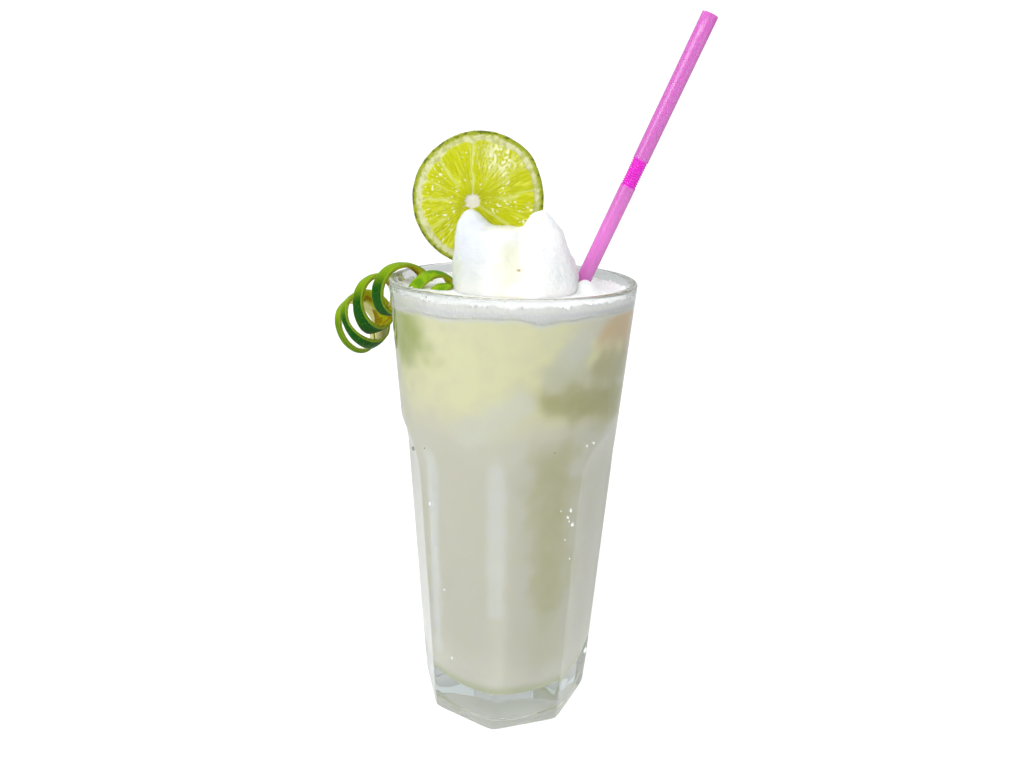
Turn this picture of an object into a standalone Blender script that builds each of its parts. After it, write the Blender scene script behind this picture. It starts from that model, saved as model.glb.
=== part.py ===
"""A tall faceted glass of brazilian lemonade, with froth, a slush mound, a lime slice, a peel and a straw.

Units are metres and +Z is up. The origin is the middle of the glass's flat underside, on its axis,
and the front of the drink looks along -Y.
"""
import math

import bmesh
import bpy
import numpy as np
from mathutils import Vector, noise

MM = 0.001
GAP = 0.3 * MM

# Glass: a round collar over eight flat facets, a thick base and a rounded lip
GLASS_HEIGHT = 175.0 * MM
RIM_RADIUS = 45.5 * MM
COLLAR_SLOPE = 0.069
RIDGE_RADIUS_AT_BASE = 34.9 * MM
RIDGE_SLOPE = 0.0571
FACETS = 8
FRONT_RIDGE_ANGLE = math.radians(-96.8)
HALF_FACET = math.pi / FACETS
ARCH_START = 106.0 * MM
ARCH_CURVE = 11.24
RIDGE_ROUNDING = 0.6 * MM
HEEL_RIDGE_ROUNDING = 1.6 * MM
COLLAR_BLEND = (100.0 * MM, 112.0 * MM)
HEEL_TOP = 14.0 * MM
FOOT_ROUNDING = 1.2 * MM
LIP_WALL = 2.8 * MM
LIP_ROUNDING = 1.3 * MM
COLLAR_WALL = 2.9 * MM
CAVITY_RADIUS_AT_BASE = 28.55 * MM
CAVITY_SLOPE = 0.0577
WALL_BLEND = (98.0 * MM, 132.0 * MM)
FLOOR_THICKNESS = 11.0 * MM
FLOOR_ROUNDING = 13.5 * MM
FLOOR_STEPS = 6

# Angles across one facet, as parts of half a facet, denser beside the ridges
FACET_STEPS = (-1.0, -0.86, -0.5, -0.17, 0.17, 0.5, 0.86)

# Drink: lemonade up to the froth, froth up to just under the rim
FROTH_TOP = 170.4 * MM
FROTH_BOTTOM_FRONT = 167.2 * MM
FROTH_BOTTOM_SIDE = 164.8 * MM
FROTH_DRIP = 1.7 * MM
FROTH_DRIP_ANGLE = math.radians(-78.0)
FILM_FRONT = 173.2 * MM
FILM_BACK = 171.2 * MM
FILM_WIDTH = 1.3 * MM
FROTH_BUBBLE_HEIGHT = 0.35 * MM
FROTH_LUMP_PLACE = (26.6 * MM, 0.5 * MM)
FROTH_LUMP_RADIUS = 4.4 * MM
FROTH_LUMP_HEIGHT = 4.2 * MM
FROTH_BESIDE_MOUND = (2.4 * MM, 4.6 * MM)

# Slush mound: a white heap with two peaks, a valley between them and a groove down its front
MOUND_CENTRE = (1.6 * MM, 1.0 * MM)
MOUND_HALF_WIDTH = 24.1 * MM
MOUND_FRONT = 20.0 * MM
MOUND_BACK = 22.5 * MM
MOUND_SHOULDER = 22.4 * MM
MOUND_STEEP_RIGHT = 2.4
MOUND_STEEP_LEFT = 13.0
MOUND_PEAKS = (
    # x, y, height over the shoulder, spread in x, spread in y, sharpness of the sides
    (-17.5 * MM, 1.0 * MM, 6.3 * MM, 7.4 * MM, 6.5 * MM, 2.9),
    (11.6 * MM, 0.0 * MM, 6.2 * MM, 7.7 * MM, 8.0 * MM, 4.0),
    (11.1 * MM, 0.0 * MM, 2.2 * MM, 2.6 * MM, 5.0 * MM, 2.0),
)
MOUND_LOBES = (
    # angle and depth of a hollow or, below zero, a bulge in the side, and its spread
    (math.radians(-4.0), 5.0 * MM, math.radians(20.0)),
    (math.radians(36.0), -3.0 * MM, math.radians(18.0)),
)
MOUND_BACK_DROP = 9.0 * MM
MOUND_GROOVE_DEPTH = 1.2 * MM
MOUND_GROOVE_X = 0.5 * MM
MOUND_LUMPS = 0.5 * MM
MOUND_LUMP_SIZE = 7.0 * MM

# Lime slice: a wheel that stands in the mound and faces the front
SLICE_CENTRE = (-13.8 * MM, 11.2 * MM, 201.75 * MM)
SLICE_RADIUS = 24.5 * MM
SLICE_THICKNESS = 4.0 * MM
RIND_ROUNDING = 0.7 * MM
SLICE_SEGMENTS = 10
SEGMENT_CROWN = 0.35 * MM
SLICE_TURN = math.radians(2.0)

# Lime peel: a channel-cut strip coiled over the rim, from the mound to its hanging end
PEEL_AXIS = (
    # At each full turn: x, y, z, coil radius, the way it faces from the back to the left, and its dip
    (-19.8, -7.8, 159.5, 8.8, 41.0, -13.0),
    (-25.3, -0.1, 165.6, 8.4, 47.0, -12.0),
    (-32.2, 4.3, 166.7, 10.2, 53.0, -10.0),
    (-45.4, 9.9, 168.3, 9.8, 52.0, 5.5),
    (-54.5, 17.0, 160.7, 9.6, 57.5, 18.0),
    (-59.6, 22.0, 152.9, 11.1, 56.5, 38.5),
    (-64.0, 27.9, 149.8, 11.5, 51.0, 27.0),
    (-72.3, 32.5, 140.9, 10.9, 45.5, 20.5),
)
PEEL_TURNS = 5.75
PEEL_SUNK_TURNS = 1.95
PEEL_AXIS_LEAD = 0.75
PEEL_WIDTHS = (
    # turns along the coil, and the strip's width there
    (0.0, 1.25, 2.0, 2.8, 3.25, 3.8, 4.25, 4.9, 5.75),
    (5.6, 5.6, 5.4, 6.4, 5.4, 7.0, 4.9, 5.4, 3.4),
)
PEEL_THICKNESS = 1.8 * MM
PEEL_CROWN = 0.35 * MM
PEEL_STEPS_PER_TURN = 18

# Straw: a thin tube with a short bellows, leaning to the right
STRAW_IN_FROTH = (28.2 * MM, 10.0 * MM, 176.0 * MM)
STRAW_TIP = (63.9 * MM, 2.0 * MM, 264.4 * MM)
STRAW_LENGTH = 220.0 * MM
STRAW_RADIUS = 2.9 * MM
STRAW_WALL = 0.4 * MM
STRAW_SIDES = 18
BELLOWS_FROM_TIP = 51.2 * MM
BELLOWS_PITCH = 0.88 * MM
BELLOWS_FOLDS = 11
BELLOWS_DEPTH = 0.35 * MM

COLOURS = {
    # base colour, roughness, transmission
    "glass": ((0.80, 0.86, 0.86), 0.03, 1.0),
    "lemonade": ((0.66, 0.66, 0.47), 0.45, 0.0),
    "froth": ((0.86, 0.87, 0.85), 0.60, 0.0),
    "slush": ((0.92, 0.93, 0.92), 0.50, 0.0),
    "lime flesh": ((0.55, 0.66, 0.04), 0.30, 0.0),
    "lime peel": ((0.10, 0.30, 0.02), 0.40, 0.0),
    "pink plastic": ((0.74, 0.20, 0.66), 0.30, 0.0),
}


def clear_scene():
    """Removes what the file already holds."""
    for item in list(bpy.data.objects):
        bpy.data.objects.remove(item, do_unlink=True)


def make_material(name):
    """A Principled material with one of the colours above."""
    colour, roughness, transmission = COLOURS[name]
    material = bpy.data.materials.new(name)
    material.use_nodes = True
    shader = material.node_tree.nodes["Principled BSDF"]
    shader.inputs["Base Color"].default_value = (*colour, 1.0)
    shader.inputs["Roughness"].default_value = roughness
    shader.inputs["Metallic"].default_value = 0.0
    shader.inputs["Transmission Weight"].default_value = transmission
    return material


def smoothstep(low, high, value):
    """0 below low, 1 above high, and a smooth rise between them."""
    part = min(max((value - low) / (high - low), 0.0), 1.0)
    return part * part * (3.0 - 2.0 * part)


def soft_minimum(first, second, width):
    """The smaller of two lengths, rounded where they meet."""
    part = max(width - abs(first - second), 0.0) / width
    return min(first, second) - part * part * width / 4.0


def bell(distance, spread):
    """A smooth bump of height 1."""
    return math.exp(-((distance / spread) ** 2))


def turn_difference(first, second):
    """The angle between two directions, from 0 to pi."""
    return abs((first - second + math.pi) % math.tau - math.pi)


def skin(name, rings, material, loop=False):
    """Joins rings of points into one closed body; the ends are filled, or joined in a loop."""
    mesh = bpy.data.meshes.new(name)
    work = bmesh.new()
    rows = [[work.verts.new(point) for point in ring] for ring in rings]
    pairs = list(zip(rows, rows[1:]))
    if loop:
        pairs.append((rows[-1], rows[0]))
    for lower, upper in pairs:
        count = max(len(lower), len(upper))
        for k in range(count):
            corners = [lower[k % len(lower)], lower[(k + 1) % len(lower)]]
            corners += [upper[(k + 1) % len(upper)], upper[k % len(upper)]]
            work.faces.new(list(dict.fromkeys(corners)))
    if not loop:
        for row in (rows[0], rows[-1]):
            if len(row) > 2:
                work.faces.new(row)
    bmesh.ops.triangulate(work, faces=work.faces, quad_method="SHORT_EDGE", ngon_method="BEAUTY")
    bmesh.ops.recalc_face_normals(work, faces=work.faces)
    work.to_mesh(mesh)
    work.free()
    mesh.shade_smooth()
    mesh.set_sharp_from_angle(angle=math.radians(35.0))
    mesh.materials.append(material)
    body = bpy.data.objects.new(name, mesh)
    bpy.context.scene.collection.objects.link(body)
    return body


def cut(body, cutter):
    """Takes the cutter's space out of a body and leaves the cutter as a guide."""
    cutter.hide_render = True
    cutter.display_type = "WIRE"
    modifier = body.modifiers.new("clear of " + cutter.name, "BOOLEAN")
    modifier.operation = "DIFFERENCE"
    modifier.solver = "EXACT"
    modifier.object = cutter


def around():
    """The angles of a ring, facet by facet, with the angle off the facet's middle."""
    angles = []
    for facet in range(FACETS):
        middle = FRONT_RIDGE_ANGLE + HALF_FACET * (2 * facet + 1)
        angles += [(middle + step * HALF_FACET, step * HALF_FACET) for step in FACET_STEPS]
    return angles


def place(angle, radius, z):
    """A point at an angle round the glass's axis."""
    return Vector((radius * math.cos(angle), radius * math.sin(angle), z))


def collar_radius(z):
    """Outside radius of the round collar's cone."""
    return RIM_RADIUS - COLLAR_SLOPE * (GLASS_HEIGHT - z)


def ridge_radius(z):
    """Radius at the ridges between two facets."""
    return RIDGE_RADIUS_AT_BASE + RIDGE_SLOPE * z


def facet_distance(z):
    """Distance from the axis to the middle of a facet, which swings out under its arch."""
    arch = ARCH_CURVE * max(z - ARCH_START, 0.0) ** 2
    return ridge_radius(z) * math.cos(HALF_FACET) + arch


def outside_radius(off_middle, z):
    """Radius of the glass's outside: the collar or the facet, whichever is nearer to the axis."""
    blend = smoothstep(*COLLAR_BLEND, z)
    round_part = collar_radius(z) * blend + ridge_radius(z) * (1.0 - blend)
    flat_part = facet_distance(z) / math.cos(off_middle)
    heel = 1.0 - smoothstep(0.0, HEEL_TOP, z)
    rounding = RIDGE_ROUNDING + (HEEL_RIDGE_ROUNDING - RIDGE_ROUNDING) * heel
    return soft_minimum(round_part, flat_part, rounding)


def inside_radius(z):
    """Radius of the round cavity, without the rounding at its floor."""
    blend = smoothstep(*WALL_BLEND, z)
    lower = CAVITY_RADIUS_AT_BASE + CAVITY_SLOPE * z
    return lower * (1.0 - blend) + (collar_radius(z) - COLLAR_WALL) * blend


def cavity_profile(inset, top):
    """Radius and height of the cavity from its floor up to a height, moved inwards by the inset."""
    floor = FLOOR_THICKNESS + inset
    rounding = FLOOR_ROUNDING - inset
    flat = inside_radius(floor + rounding) - inset - rounding
    profile = []
    for step in range(FLOOR_STEPS + 1):
        turn = math.radians(90.0 * step / FLOOR_STEPS)
        profile.append((flat + rounding * math.sin(turn), floor + rounding * (1.0 - math.cos(turn))))
    low, high = WALL_BLEND
    heights = [low + (high - low) * step / 7 for step in range(8)]
    profile += [(inside_radius(z) - inset, z) for z in heights if z < top]
    return profile


def build_glass(material):
    """The glass, from the middle of its underside round the lip to the middle of its floor."""
    rings = [[Vector((0.0, 0.0, 0.0))]]
    foot = [(math.radians(a), FOOT_ROUNDING) for a in (0, 35, 65, 90)]
    for turn, rounding in foot:
        z = rounding * (1.0 - math.cos(turn))
        inset = rounding * (1.0 - math.sin(turn))
        rings.append([place(a, outside_radius(off, z) - inset, z) for a, off in around()])
    heights = [6.0 * MM, 10.0 * MM, HEEL_TOP, 100.0 * MM]
    heights += [(103.0 + 3.0 * step) * MM for step in range(8)] + [130.0 * MM]
    heights.append(GLASS_HEIGHT - LIP_ROUNDING)
    rings += [[place(a, outside_radius(off, z), z) for a, off in around()] for z in heights]
    lip_centre = GLASS_HEIGHT - LIP_ROUNDING
    lip_inner = RIM_RADIUS - LIP_WALL + LIP_ROUNDING
    for turn in (30, 60, 90):
        rise = math.radians(turn)
        radius = RIM_RADIUS - LIP_ROUNDING * (1.0 - math.cos(rise))
        height = lip_centre + LIP_ROUNDING * math.sin(rise)
        rings.append([place(a, radius, height) for a, off in around()])
    for turn in (90, 60, 30, 0):
        rise = math.radians(turn)
        radius = lip_inner - LIP_ROUNDING * math.cos(rise)
        height = lip_centre + LIP_ROUNDING * math.sin(rise)
        rings.append([place(a, radius, height) for a, off in around()])
    for radius, z in reversed(cavity_profile(0.0, GLASS_HEIGHT)):
        rings.append([place(a, radius, z) for a, off in around()])
    rings.append([Vector((0.0, 0.0, FLOOR_THICKNESS))])
    return skin("glass", rings, material)


def froth_bottom(angle, radius):
    """Height where the froth meets the lemonade, wavy at the glass and lower at the sides."""
    side = abs(math.cos(angle))
    edge = FROTH_BOTTOM_FRONT + (FROTH_BOTTOM_SIDE - FROTH_BOTTOM_FRONT) * side ** 1.5
    wave = 0.3 * MM * math.sin(7.0 * angle) + 0.2 * MM * math.sin(13.0 * angle + 1.0)
    drip = FROTH_DRIP * bell(turn_difference(angle, FROTH_DRIP_ANGLE), math.radians(5.0))
    at_wall = smoothstep(0.8 * inside_radius(edge), inside_radius(edge), radius)
    return FROTH_BOTTOM_FRONT + (edge + wave - drip - FROTH_BOTTOM_FRONT) * at_wall


def froth_top(angle, radius):
    """Height of the froth's surface: fine bubbles, a lump by the straw and a film up the glass."""
    point = place(angle, radius, 0.0)
    wall = inside_radius(FROTH_TOP)
    front = 0.5 - 0.5 * math.sin(angle)
    film = FILM_BACK + (FILM_FRONT - FILM_BACK) * smoothstep(0.45, 0.9, front) - FROTH_TOP
    rise = film * bell(wall - radius, FILM_WIDTH)
    lump_x, lump_y = FROTH_LUMP_PLACE
    lump = FROTH_LUMP_HEIGHT * bell(math.hypot(point.x - lump_x, point.y - lump_y), FROTH_LUMP_RADIUS)
    bubbles = FROTH_BUBBLE_HEIGHT * noise.noise(point / (4.0 * MM))
    off_x, off_y = point.x - MOUND_CENTRE[0], point.y - MOUND_CENTRE[1]
    from_foot = math.hypot(off_x, off_y) - mound_reach(math.atan2(off_y, off_x))
    return FROTH_TOP + rise + (lump + bubbles) * smoothstep(*FROTH_BESIDE_MOUND, from_foot)


def build_lemonade(material):
    """The drink under the froth, a round solid that fills the cavity."""
    profile = cavity_profile(GAP, GLASS_HEIGHT)
    rings = [[Vector((0.0, 0.0, profile[0][1]))]]
    rings += [[place(a, radius, z) for a, off in around()] for radius, z in profile]
    wall = inside_radius(FROTH_BOTTOM_SIDE) - GAP
    for part in (1.0, 0.92, 0.84, 0.5):
        radius = wall * part
        rings.append([place(a, radius, froth_bottom(a, radius) - GAP) for a, off in around()])
    rings.append([Vector((0.0, 0.0, FROTH_BOTTOM_FRONT - GAP))])
    return skin("lemonade", rings, material)


def build_froth(material):
    """The foam layer on the lemonade, with its film up the glass."""
    wall = inside_radius(FROTH_BOTTOM_SIDE) - GAP
    rings = [[Vector((0.0, 0.0, FROTH_BOTTOM_FRONT))]]
    for part in (0.5, 0.84, 0.92, 1.0):
        radius = wall * part
        rings.append([place(a, radius, froth_bottom(a, radius)) for a, off in around()])
    edge = inside_radius(FILM_FRONT) - GAP
    edge_ring = []
    for angle, _ in around():
        height = froth_top(angle, edge)
        edge_ring.append(place(angle, inside_radius(height) - GAP, height))
    rings.append(edge_ring)
    for radius in (40.9, 39.2, 36.5, 33.0, 29.5, 27.2, 25.2, 20.5, 14.0):
        rings.append([place(a, radius * MM, froth_top(a, radius * MM)) for a, off in around()])
    rings.append([Vector((0.0, 0.0, FROTH_TOP))])
    return skin("froth", rings, material)


def mound_reach(angle):
    """Distance from the mound's centre to its foot."""
    depth = MOUND_FRONT if math.sin(angle) < 0.0 else MOUND_BACK
    lobes = 0.5 * MM * math.sin(5.0 * angle + 0.6) + 0.3 * MM * math.sin(9.0 * angle)
    stretch = math.hypot(depth * math.cos(angle), MOUND_HALF_WIDTH * math.sin(angle))
    oval = MOUND_HALF_WIDTH * depth / stretch
    hollows = sum(hollow * bell(turn_difference(angle, side), spread) for side, hollow, spread in MOUND_LOBES)
    return oval + lobes * abs(math.sin(angle)) - hollows


def mound_height(x, y):
    """Height of the mound's shoulders and peaks over its foot."""
    height = MOUND_SHOULDER
    for peak_x, peak_y, rise, spread_x, spread_y, sharpness in MOUND_PEAKS:
        away = math.hypot((x - peak_x) / spread_x, (y - peak_y) / spread_y)
        height += rise * math.exp(-(away ** sharpness))
    return height - MOUND_BACK_DROP * smoothstep(12.0 * MM, 18.0 * MM, y)


def mound_point(angle, part):
    """A point of the mound's surface; part runs from 0 at the top to 1 at the foot."""
    reach = mound_reach(angle) * part
    x = MOUND_CENTRE[0] + reach * math.cos(angle)
    y = MOUND_CENTRE[1] + reach * math.sin(angle)
    steep = MOUND_STEEP_RIGHT + (MOUND_STEEP_LEFT - MOUND_STEEP_RIGHT) * max(-math.cos(angle), 0.0)
    z = mound_height(x, y) * math.sqrt(max(1.0 - part ** steep, 0.0))
    groove = MOUND_GROOVE_DEPTH * bell(x - MOUND_GROOVE_X, 4.5 * MM) * smoothstep(0.4, 0.8, part)
    y += groove * max(-math.sin(angle), 0.0) * smoothstep(0.0, 4.0 * MM, z)
    point = Vector((x, y, FROTH_TOP + GAP + z))
    outward = Vector((math.cos(angle), math.sin(angle), 0.6)).normalized()
    lumps = MOUND_LUMPS * noise.noise(point / MOUND_LUMP_SIZE) * smoothstep(0.0, 5.0 * MM, z)
    return point + outward * lumps


def build_mound(material):
    """The heap of slush on the froth, flat where it rests."""
    steps = 44
    parts = (1.0, 0.985, 0.95, 0.9, 0.83, 0.75, 0.66, 0.56, 0.46, 0.36, 0.26, 0.14)
    angles = [math.tau * step / steps for step in range(steps)]
    rings = [[mound_point(angle, part) for angle in angles] for part in parts]
    rings.append([mound_point(0.0, 0.0)])
    return skin("slush_mound", rings, material)


def slice_relief(angle, part):
    """Crown of the juice segments on a face; part runs from 0 at the pith to 1 at the rind."""
    across = abs(math.sin(0.5 * SLICE_SEGMENTS * angle))
    inside = smoothstep(0.12, 0.22, part) * (1.0 - smoothstep(0.84, 0.92, part))
    return SEGMENT_CROWN * math.sqrt(across) * inside


def build_slice(name, material, grow=0.0):
    """The lime wheel, or its slot when it is grown."""
    steps = 40 if grow > 0.0 else 60
    angles = [math.tau * step / steps for step in range(steps)]
    half = 0.5 * SLICE_THICKNESS + grow
    outer = SLICE_RADIUS + grow
    parts = (0.0, 0.17, 0.55, 0.82, 0.92)
    front = [(part, half) for part in parts]
    edge = [(1.0 - RIND_ROUNDING / outer, half), (1.0, half - RIND_ROUNDING), (1.0, RIND_ROUNDING - half)]
    edge.append((1.0 - RIND_ROUNDING / outer, -half))
    back = [(part, -half) for part in reversed(parts)]
    if grow > 0.0:
        front, edge, back = [(0.0, half)], [(1.0, half), (1.0, -half)], [(0.0, -half)]
    rings = []
    for part, depth in front + edge + back:
        ring = []
        for angle in angles:
            relief = 0.0 if grow > 0.0 else slice_relief(angle, part)
            rise = depth + math.copysign(relief, depth)
            ring.append(Vector((outer * part * math.cos(angle), -rise, outer * part * math.sin(angle))))
        rings.append(ring[:1] if part == 0.0 else ring)
    body = skin(name, rings, material)
    body.location = SLICE_CENTRE
    body.rotation_euler = (0.0, SLICE_TURN, 0.0)
    return body


def peel_axis(turn):
    """Centre, radius, facing angle and dip of the coil, on a smooth curve through its points."""
    points = [np.array(row) for row in PEEL_AXIS]
    points.insert(0, 2.0 * points[0] - points[1])
    points.append(2.0 * points[-1] - points[-2])
    place_on = turn + PEEL_AXIS_LEAD
    first = min(int(place_on), len(points) - 4)
    t = place_on - first
    a, b, c, d = points[first:first + 4]
    curve = 2.0 * b + (c - a) * t + (2.0 * a - 5.0 * b + 4.0 * c - d) * t ** 2
    curve = 0.5 * (curve + (3.0 * b - a - 3.0 * c + d) * t ** 3)
    return Vector(curve[:3]) * MM, float(curve[3]) * MM, math.radians(curve[4]), math.radians(curve[5])


def peel_section(turn, grow):
    """The strip's cross-section at a turn: a crowned skin side and a flat pith side."""
    centre, radius, facing, dip = peel_axis(turn)
    across = Vector((-math.sin(facing) * math.cos(dip), math.cos(facing) * math.cos(dip), -math.sin(dip)))
    up = (Vector((0.0, 0.0, 1.0)) - across * across.z).normalized()
    near = up.cross(across)
    outward = up * math.cos(math.tau * turn) + near * math.sin(math.tau * turn)
    end = min(turn, PEEL_TURNS - turn) * math.tau * radius
    taper = 0.45 + 0.55 * smoothstep(0.0, 4.0 * MM, end)
    half = 0.5 * MM * float(np.interp(turn, *PEEL_WIDTHS)) * taper + grow
    skin_side = grow
    pith_side = -PEEL_THICKNESS - grow
    corners = ((-half, skin_side - PEEL_CROWN), (0.0, skin_side), (half, skin_side - PEEL_CROWN))
    corners += ((half, pith_side), (-half, pith_side))
    return [centre + outward * (radius + rise) + across * side for side, rise in corners]


def build_peel(name, material, turns, grow=0.0):
    """The coiled strip, or the channel that it takes up when it is grown."""
    steps = int(turns * PEEL_STEPS_PER_TURN)
    start = -0.02 if grow > 0.0 else 0.0
    rings = [peel_section(start + (turns - start) * step / steps, grow) for step in range(steps + 1)]
    return skin(name, rings, material)


def straw_axis():
    """Direction of the straw, from its foot to its tip."""
    return (Vector(STRAW_TIP) - Vector(STRAW_IN_FROTH)).normalized()


def straw_ring(radius, height):
    """A ring round the straw's own axis."""
    turns = [math.tau * step / STRAW_SIDES for step in range(STRAW_SIDES)]
    return [Vector((radius * math.cos(turn), radius * math.sin(turn), height)) for turn in turns]


def set_along_straw(body):
    """Stands a body built along +Z on the straw's foot, along its axis."""
    axis = straw_axis()
    body.rotation_mode = "QUATERNION"
    body.rotation_quaternion = Vector((0.0, 0.0, 1.0)).rotation_difference(axis)
    body.location = Vector(STRAW_TIP) - axis * STRAW_LENGTH


def build_straw(material):
    """The straw, an open tube with a bellows."""
    bellows_top = STRAW_LENGTH - BELLOWS_FROM_TIP
    rings = [straw_ring(STRAW_RADIUS, 0.0)]
    for fold in range(BELLOWS_FOLDS):
        height = bellows_top - (BELLOWS_FOLDS - fold) * BELLOWS_PITCH
        rings.append(straw_ring(STRAW_RADIUS, height))
        rings.append(straw_ring(STRAW_RADIUS - BELLOWS_DEPTH, height + 0.5 * BELLOWS_PITCH))
    rings.append(straw_ring(STRAW_RADIUS, bellows_top))
    rings.append(straw_ring(STRAW_RADIUS, STRAW_LENGTH))
    bore = STRAW_RADIUS - STRAW_WALL
    neck = bore - BELLOWS_DEPTH
    rings.append(straw_ring(bore, STRAW_LENGTH))
    rings.append(straw_ring(bore, bellows_top + BELLOWS_PITCH))
    rings.append(straw_ring(neck, bellows_top))
    rings.append(straw_ring(neck, bellows_top - BELLOWS_FOLDS * BELLOWS_PITCH))
    rings.append(straw_ring(bore, bellows_top - (BELLOWS_FOLDS + 1) * BELLOWS_PITCH))
    rings.append(straw_ring(bore, 0.0))
    body = skin("straw", rings, material, loop=True)
    set_along_straw(body)
    return body


def build_straw_channel(material):
    """The room that the straw takes up in the drink."""
    radius = STRAW_RADIUS + GAP
    rings = [straw_ring(radius, -GAP), straw_ring(radius, STRAW_LENGTH)]
    body = skin("straw channel", rings, material)
    set_along_straw(body)
    return body


def main():
    """Builds the glass, what it holds and what stands in it."""
    clear_scene()
    materials = {name: make_material(name) for name in COLOURS}
    build_glass(materials["glass"])
    lemonade = build_lemonade(materials["lemonade"])
    froth = build_froth(materials["froth"])
    mound = build_mound(materials["slush"])
    build_slice("lime_slice", materials["lime flesh"])
    build_peel("lime_peel", materials["lime peel"], PEEL_TURNS)
    build_straw(materials["pink plastic"])
    straw_channel = build_straw_channel(materials["pink plastic"])
    peel_channel = build_peel("peel channel", materials["lime peel"], PEEL_SUNK_TURNS, grow=GAP)
    slice_slot = build_slice("slice slot", materials["lime flesh"], grow=GAP + SEGMENT_CROWN)
    for body in (lemonade, froth, mound):
        cut(body, straw_channel)
        cut(body, peel_channel)
    cut(mound, slice_slot)


main()
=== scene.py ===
"""Brazilian lemonade: the finished look of the drink, its faceted glass and what stands in it.

The script runs in Blender 4.5 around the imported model. Sizes in the classes are millimetres unless
a name says otherwise; meshes are in metres, with +Z up and the front of the drink looking along -Y.
"""
import logging
import math
from dataclasses import dataclass
from enum import Enum
from typing import Optional, Sequence, Union

import bmesh
import bpy
import numpy as np
from mathutils import Matrix, Vector, kdtree, noise


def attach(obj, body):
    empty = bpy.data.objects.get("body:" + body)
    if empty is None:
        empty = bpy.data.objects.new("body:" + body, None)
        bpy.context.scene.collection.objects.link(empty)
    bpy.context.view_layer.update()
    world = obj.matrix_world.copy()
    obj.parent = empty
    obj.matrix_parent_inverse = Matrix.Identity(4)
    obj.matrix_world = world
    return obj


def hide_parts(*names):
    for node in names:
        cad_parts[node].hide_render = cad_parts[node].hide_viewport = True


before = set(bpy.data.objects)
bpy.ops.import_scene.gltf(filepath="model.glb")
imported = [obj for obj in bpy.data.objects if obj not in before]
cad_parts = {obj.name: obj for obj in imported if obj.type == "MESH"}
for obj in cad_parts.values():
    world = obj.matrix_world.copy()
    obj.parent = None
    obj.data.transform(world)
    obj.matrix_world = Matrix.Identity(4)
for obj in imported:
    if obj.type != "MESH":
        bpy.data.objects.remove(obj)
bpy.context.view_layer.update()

LOG = logging.getLogger("brazilian_lemonade")
MM = 0.001
BODY = "root"
NOISE_STEP = 37.7
REACH_INTO_WALL = 0.15
WHITE = "#FFFFFF"

Array = np.ndarray
Value = Union[float, Array]
Piece = bpy.types.Object
Material = bpy.types.Material
Tree = bpy.types.NodeTree
Socket = bpy.types.NodeSocket
Colour = Union[str, Socket]
Pair = tuple[float, float]
Triple = tuple[float, float, float]


class Slot(Enum):
    """The material slots of the record."""

    GLASS = "clear_glass"
    LEMONADE = "lemonade"
    FROTH = "froth"
    SLUSH = "slush"
    FLESH = "lime_flesh"
    PEEL = "lime_peel"
    PLASTIC = "pink_plastic"


class Patch(Enum):
    """The soft patches laid on the drink's colour, by the layers that hold them: tones of the drink, painted
    shade, a painted cast of the peel's shade and reflection, and painted highlights.
    """

    PAINTED_PEEL_CAST = "painted_peel_cast"
    AMBER = "amber"
    PAINTED_SHADE = "painted_shade"
    MOSS_AND_SHADE = "moss_and_shade"
    HAZE = "haze"
    CLOUD = "cloud"
    PAINTED_SHEEN = "painted_sheen"


class Face(Enum):
    """The two cut faces of the lime wheel, by the side of Y they look to."""

    FRONT = -1.0
    BACK = 1.0


def smoothstep(low: float, high: float, value: Value) -> Array:
    """0 below low, 1 above high, and a smooth rise between them."""
    part = np.clip((np.asarray(value, float) - low) / (high - low), 0.0, 1.0)
    return part * part * (3.0 - 2.0 * part)


def soft_minimum(first: Value, second: Value, width: Value) -> Array:
    """The smaller of two lengths, rounded over a width where they meet."""
    part = np.maximum(width - np.abs(first - second), 0.0) / width
    return np.minimum(first, second) - part * part * width / 4.0


def bell(distance: Value, spread: float) -> Array:
    """A smooth bump of height 1."""
    return np.exp(-((np.asarray(distance, float) / spread) ** 2))


def turn_difference(first: Value, second: Value) -> Array:
    """The angle between two directions, from 0 to pi."""
    return np.abs((first - second + math.pi) % math.tau - math.pi)


def waves(points: Array, size: float, seed: float = 0.0) -> Array:
    """Smooth noise from about -1 to 1.

    Args:
        points: Places in millimetres, one row each.
        size: Width of one swell in millimetres.
        seed: Any number; another seed gives another pattern.

    Returns:
        One value for each point.
    """
    return np.array([noise.noise(row) for row in (points / size + seed * NOISE_STEP).tolist()])


def bubble_domes(points: Array, size: float, seed: float = 0.0) -> Array:
    """Packed round domes, as bubbles side by side make.

    Args:
        points: Places in millimetres, one row each.
        size: Usual width of a bubble in millimetres.
        seed: Any number; another seed gives another packing.

    Returns:
        0 in the grooves between bubbles and up to 1 on their tops.
    """
    rows = (points / size + seed * NOISE_STEP).tolist()
    near = np.array([noise.voronoi(row)[0][:2] for row in rows])
    return np.sqrt(smoothstep(0.0, 0.75, near[:, 1] - near[:, 0]))


def ripple(angles: Array, terms: Sequence[Triple]) -> Array:
    """A sum of waves round an axis, from rows of height, number of waves and phase."""
    return sum(height * np.sin(count * angles + phase) for height, count, phase in terms)


def swells(points: Array, terms: Sequence[Triple]) -> Array:
    """A sum of smooth noises, from rows of height, width and seed."""
    return sum(height * waves(points, size, seed) for height, size, seed in terms)


def linear(colour: str) -> tuple[float, float, float, float]:
    """Turns an sRGB colour linear.

    Args:
        colour: The hex value.

    Returns:
        Red, green and blue, with full alpha.
    """
    shares = [int(colour[k:k + 2], 16) / 255.0 for k in (1, 3, 5)]
    bent = [s / 12.92 if s <= 0.04045 else ((s + 0.055) / 1.055) ** 2.4 for s in shares]
    return bent[0], bent[1], bent[2], 1.0


def per_metre(size: float) -> float:
    """Texture scale for a pattern of a size in millimetres."""
    return 1.0 / (size * MM)


def in_metres(lengths: Sequence[float]) -> tuple[float, ...]:
    """Lengths in millimetres as metres."""
    return tuple(length * MM for length in lengths)


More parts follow.
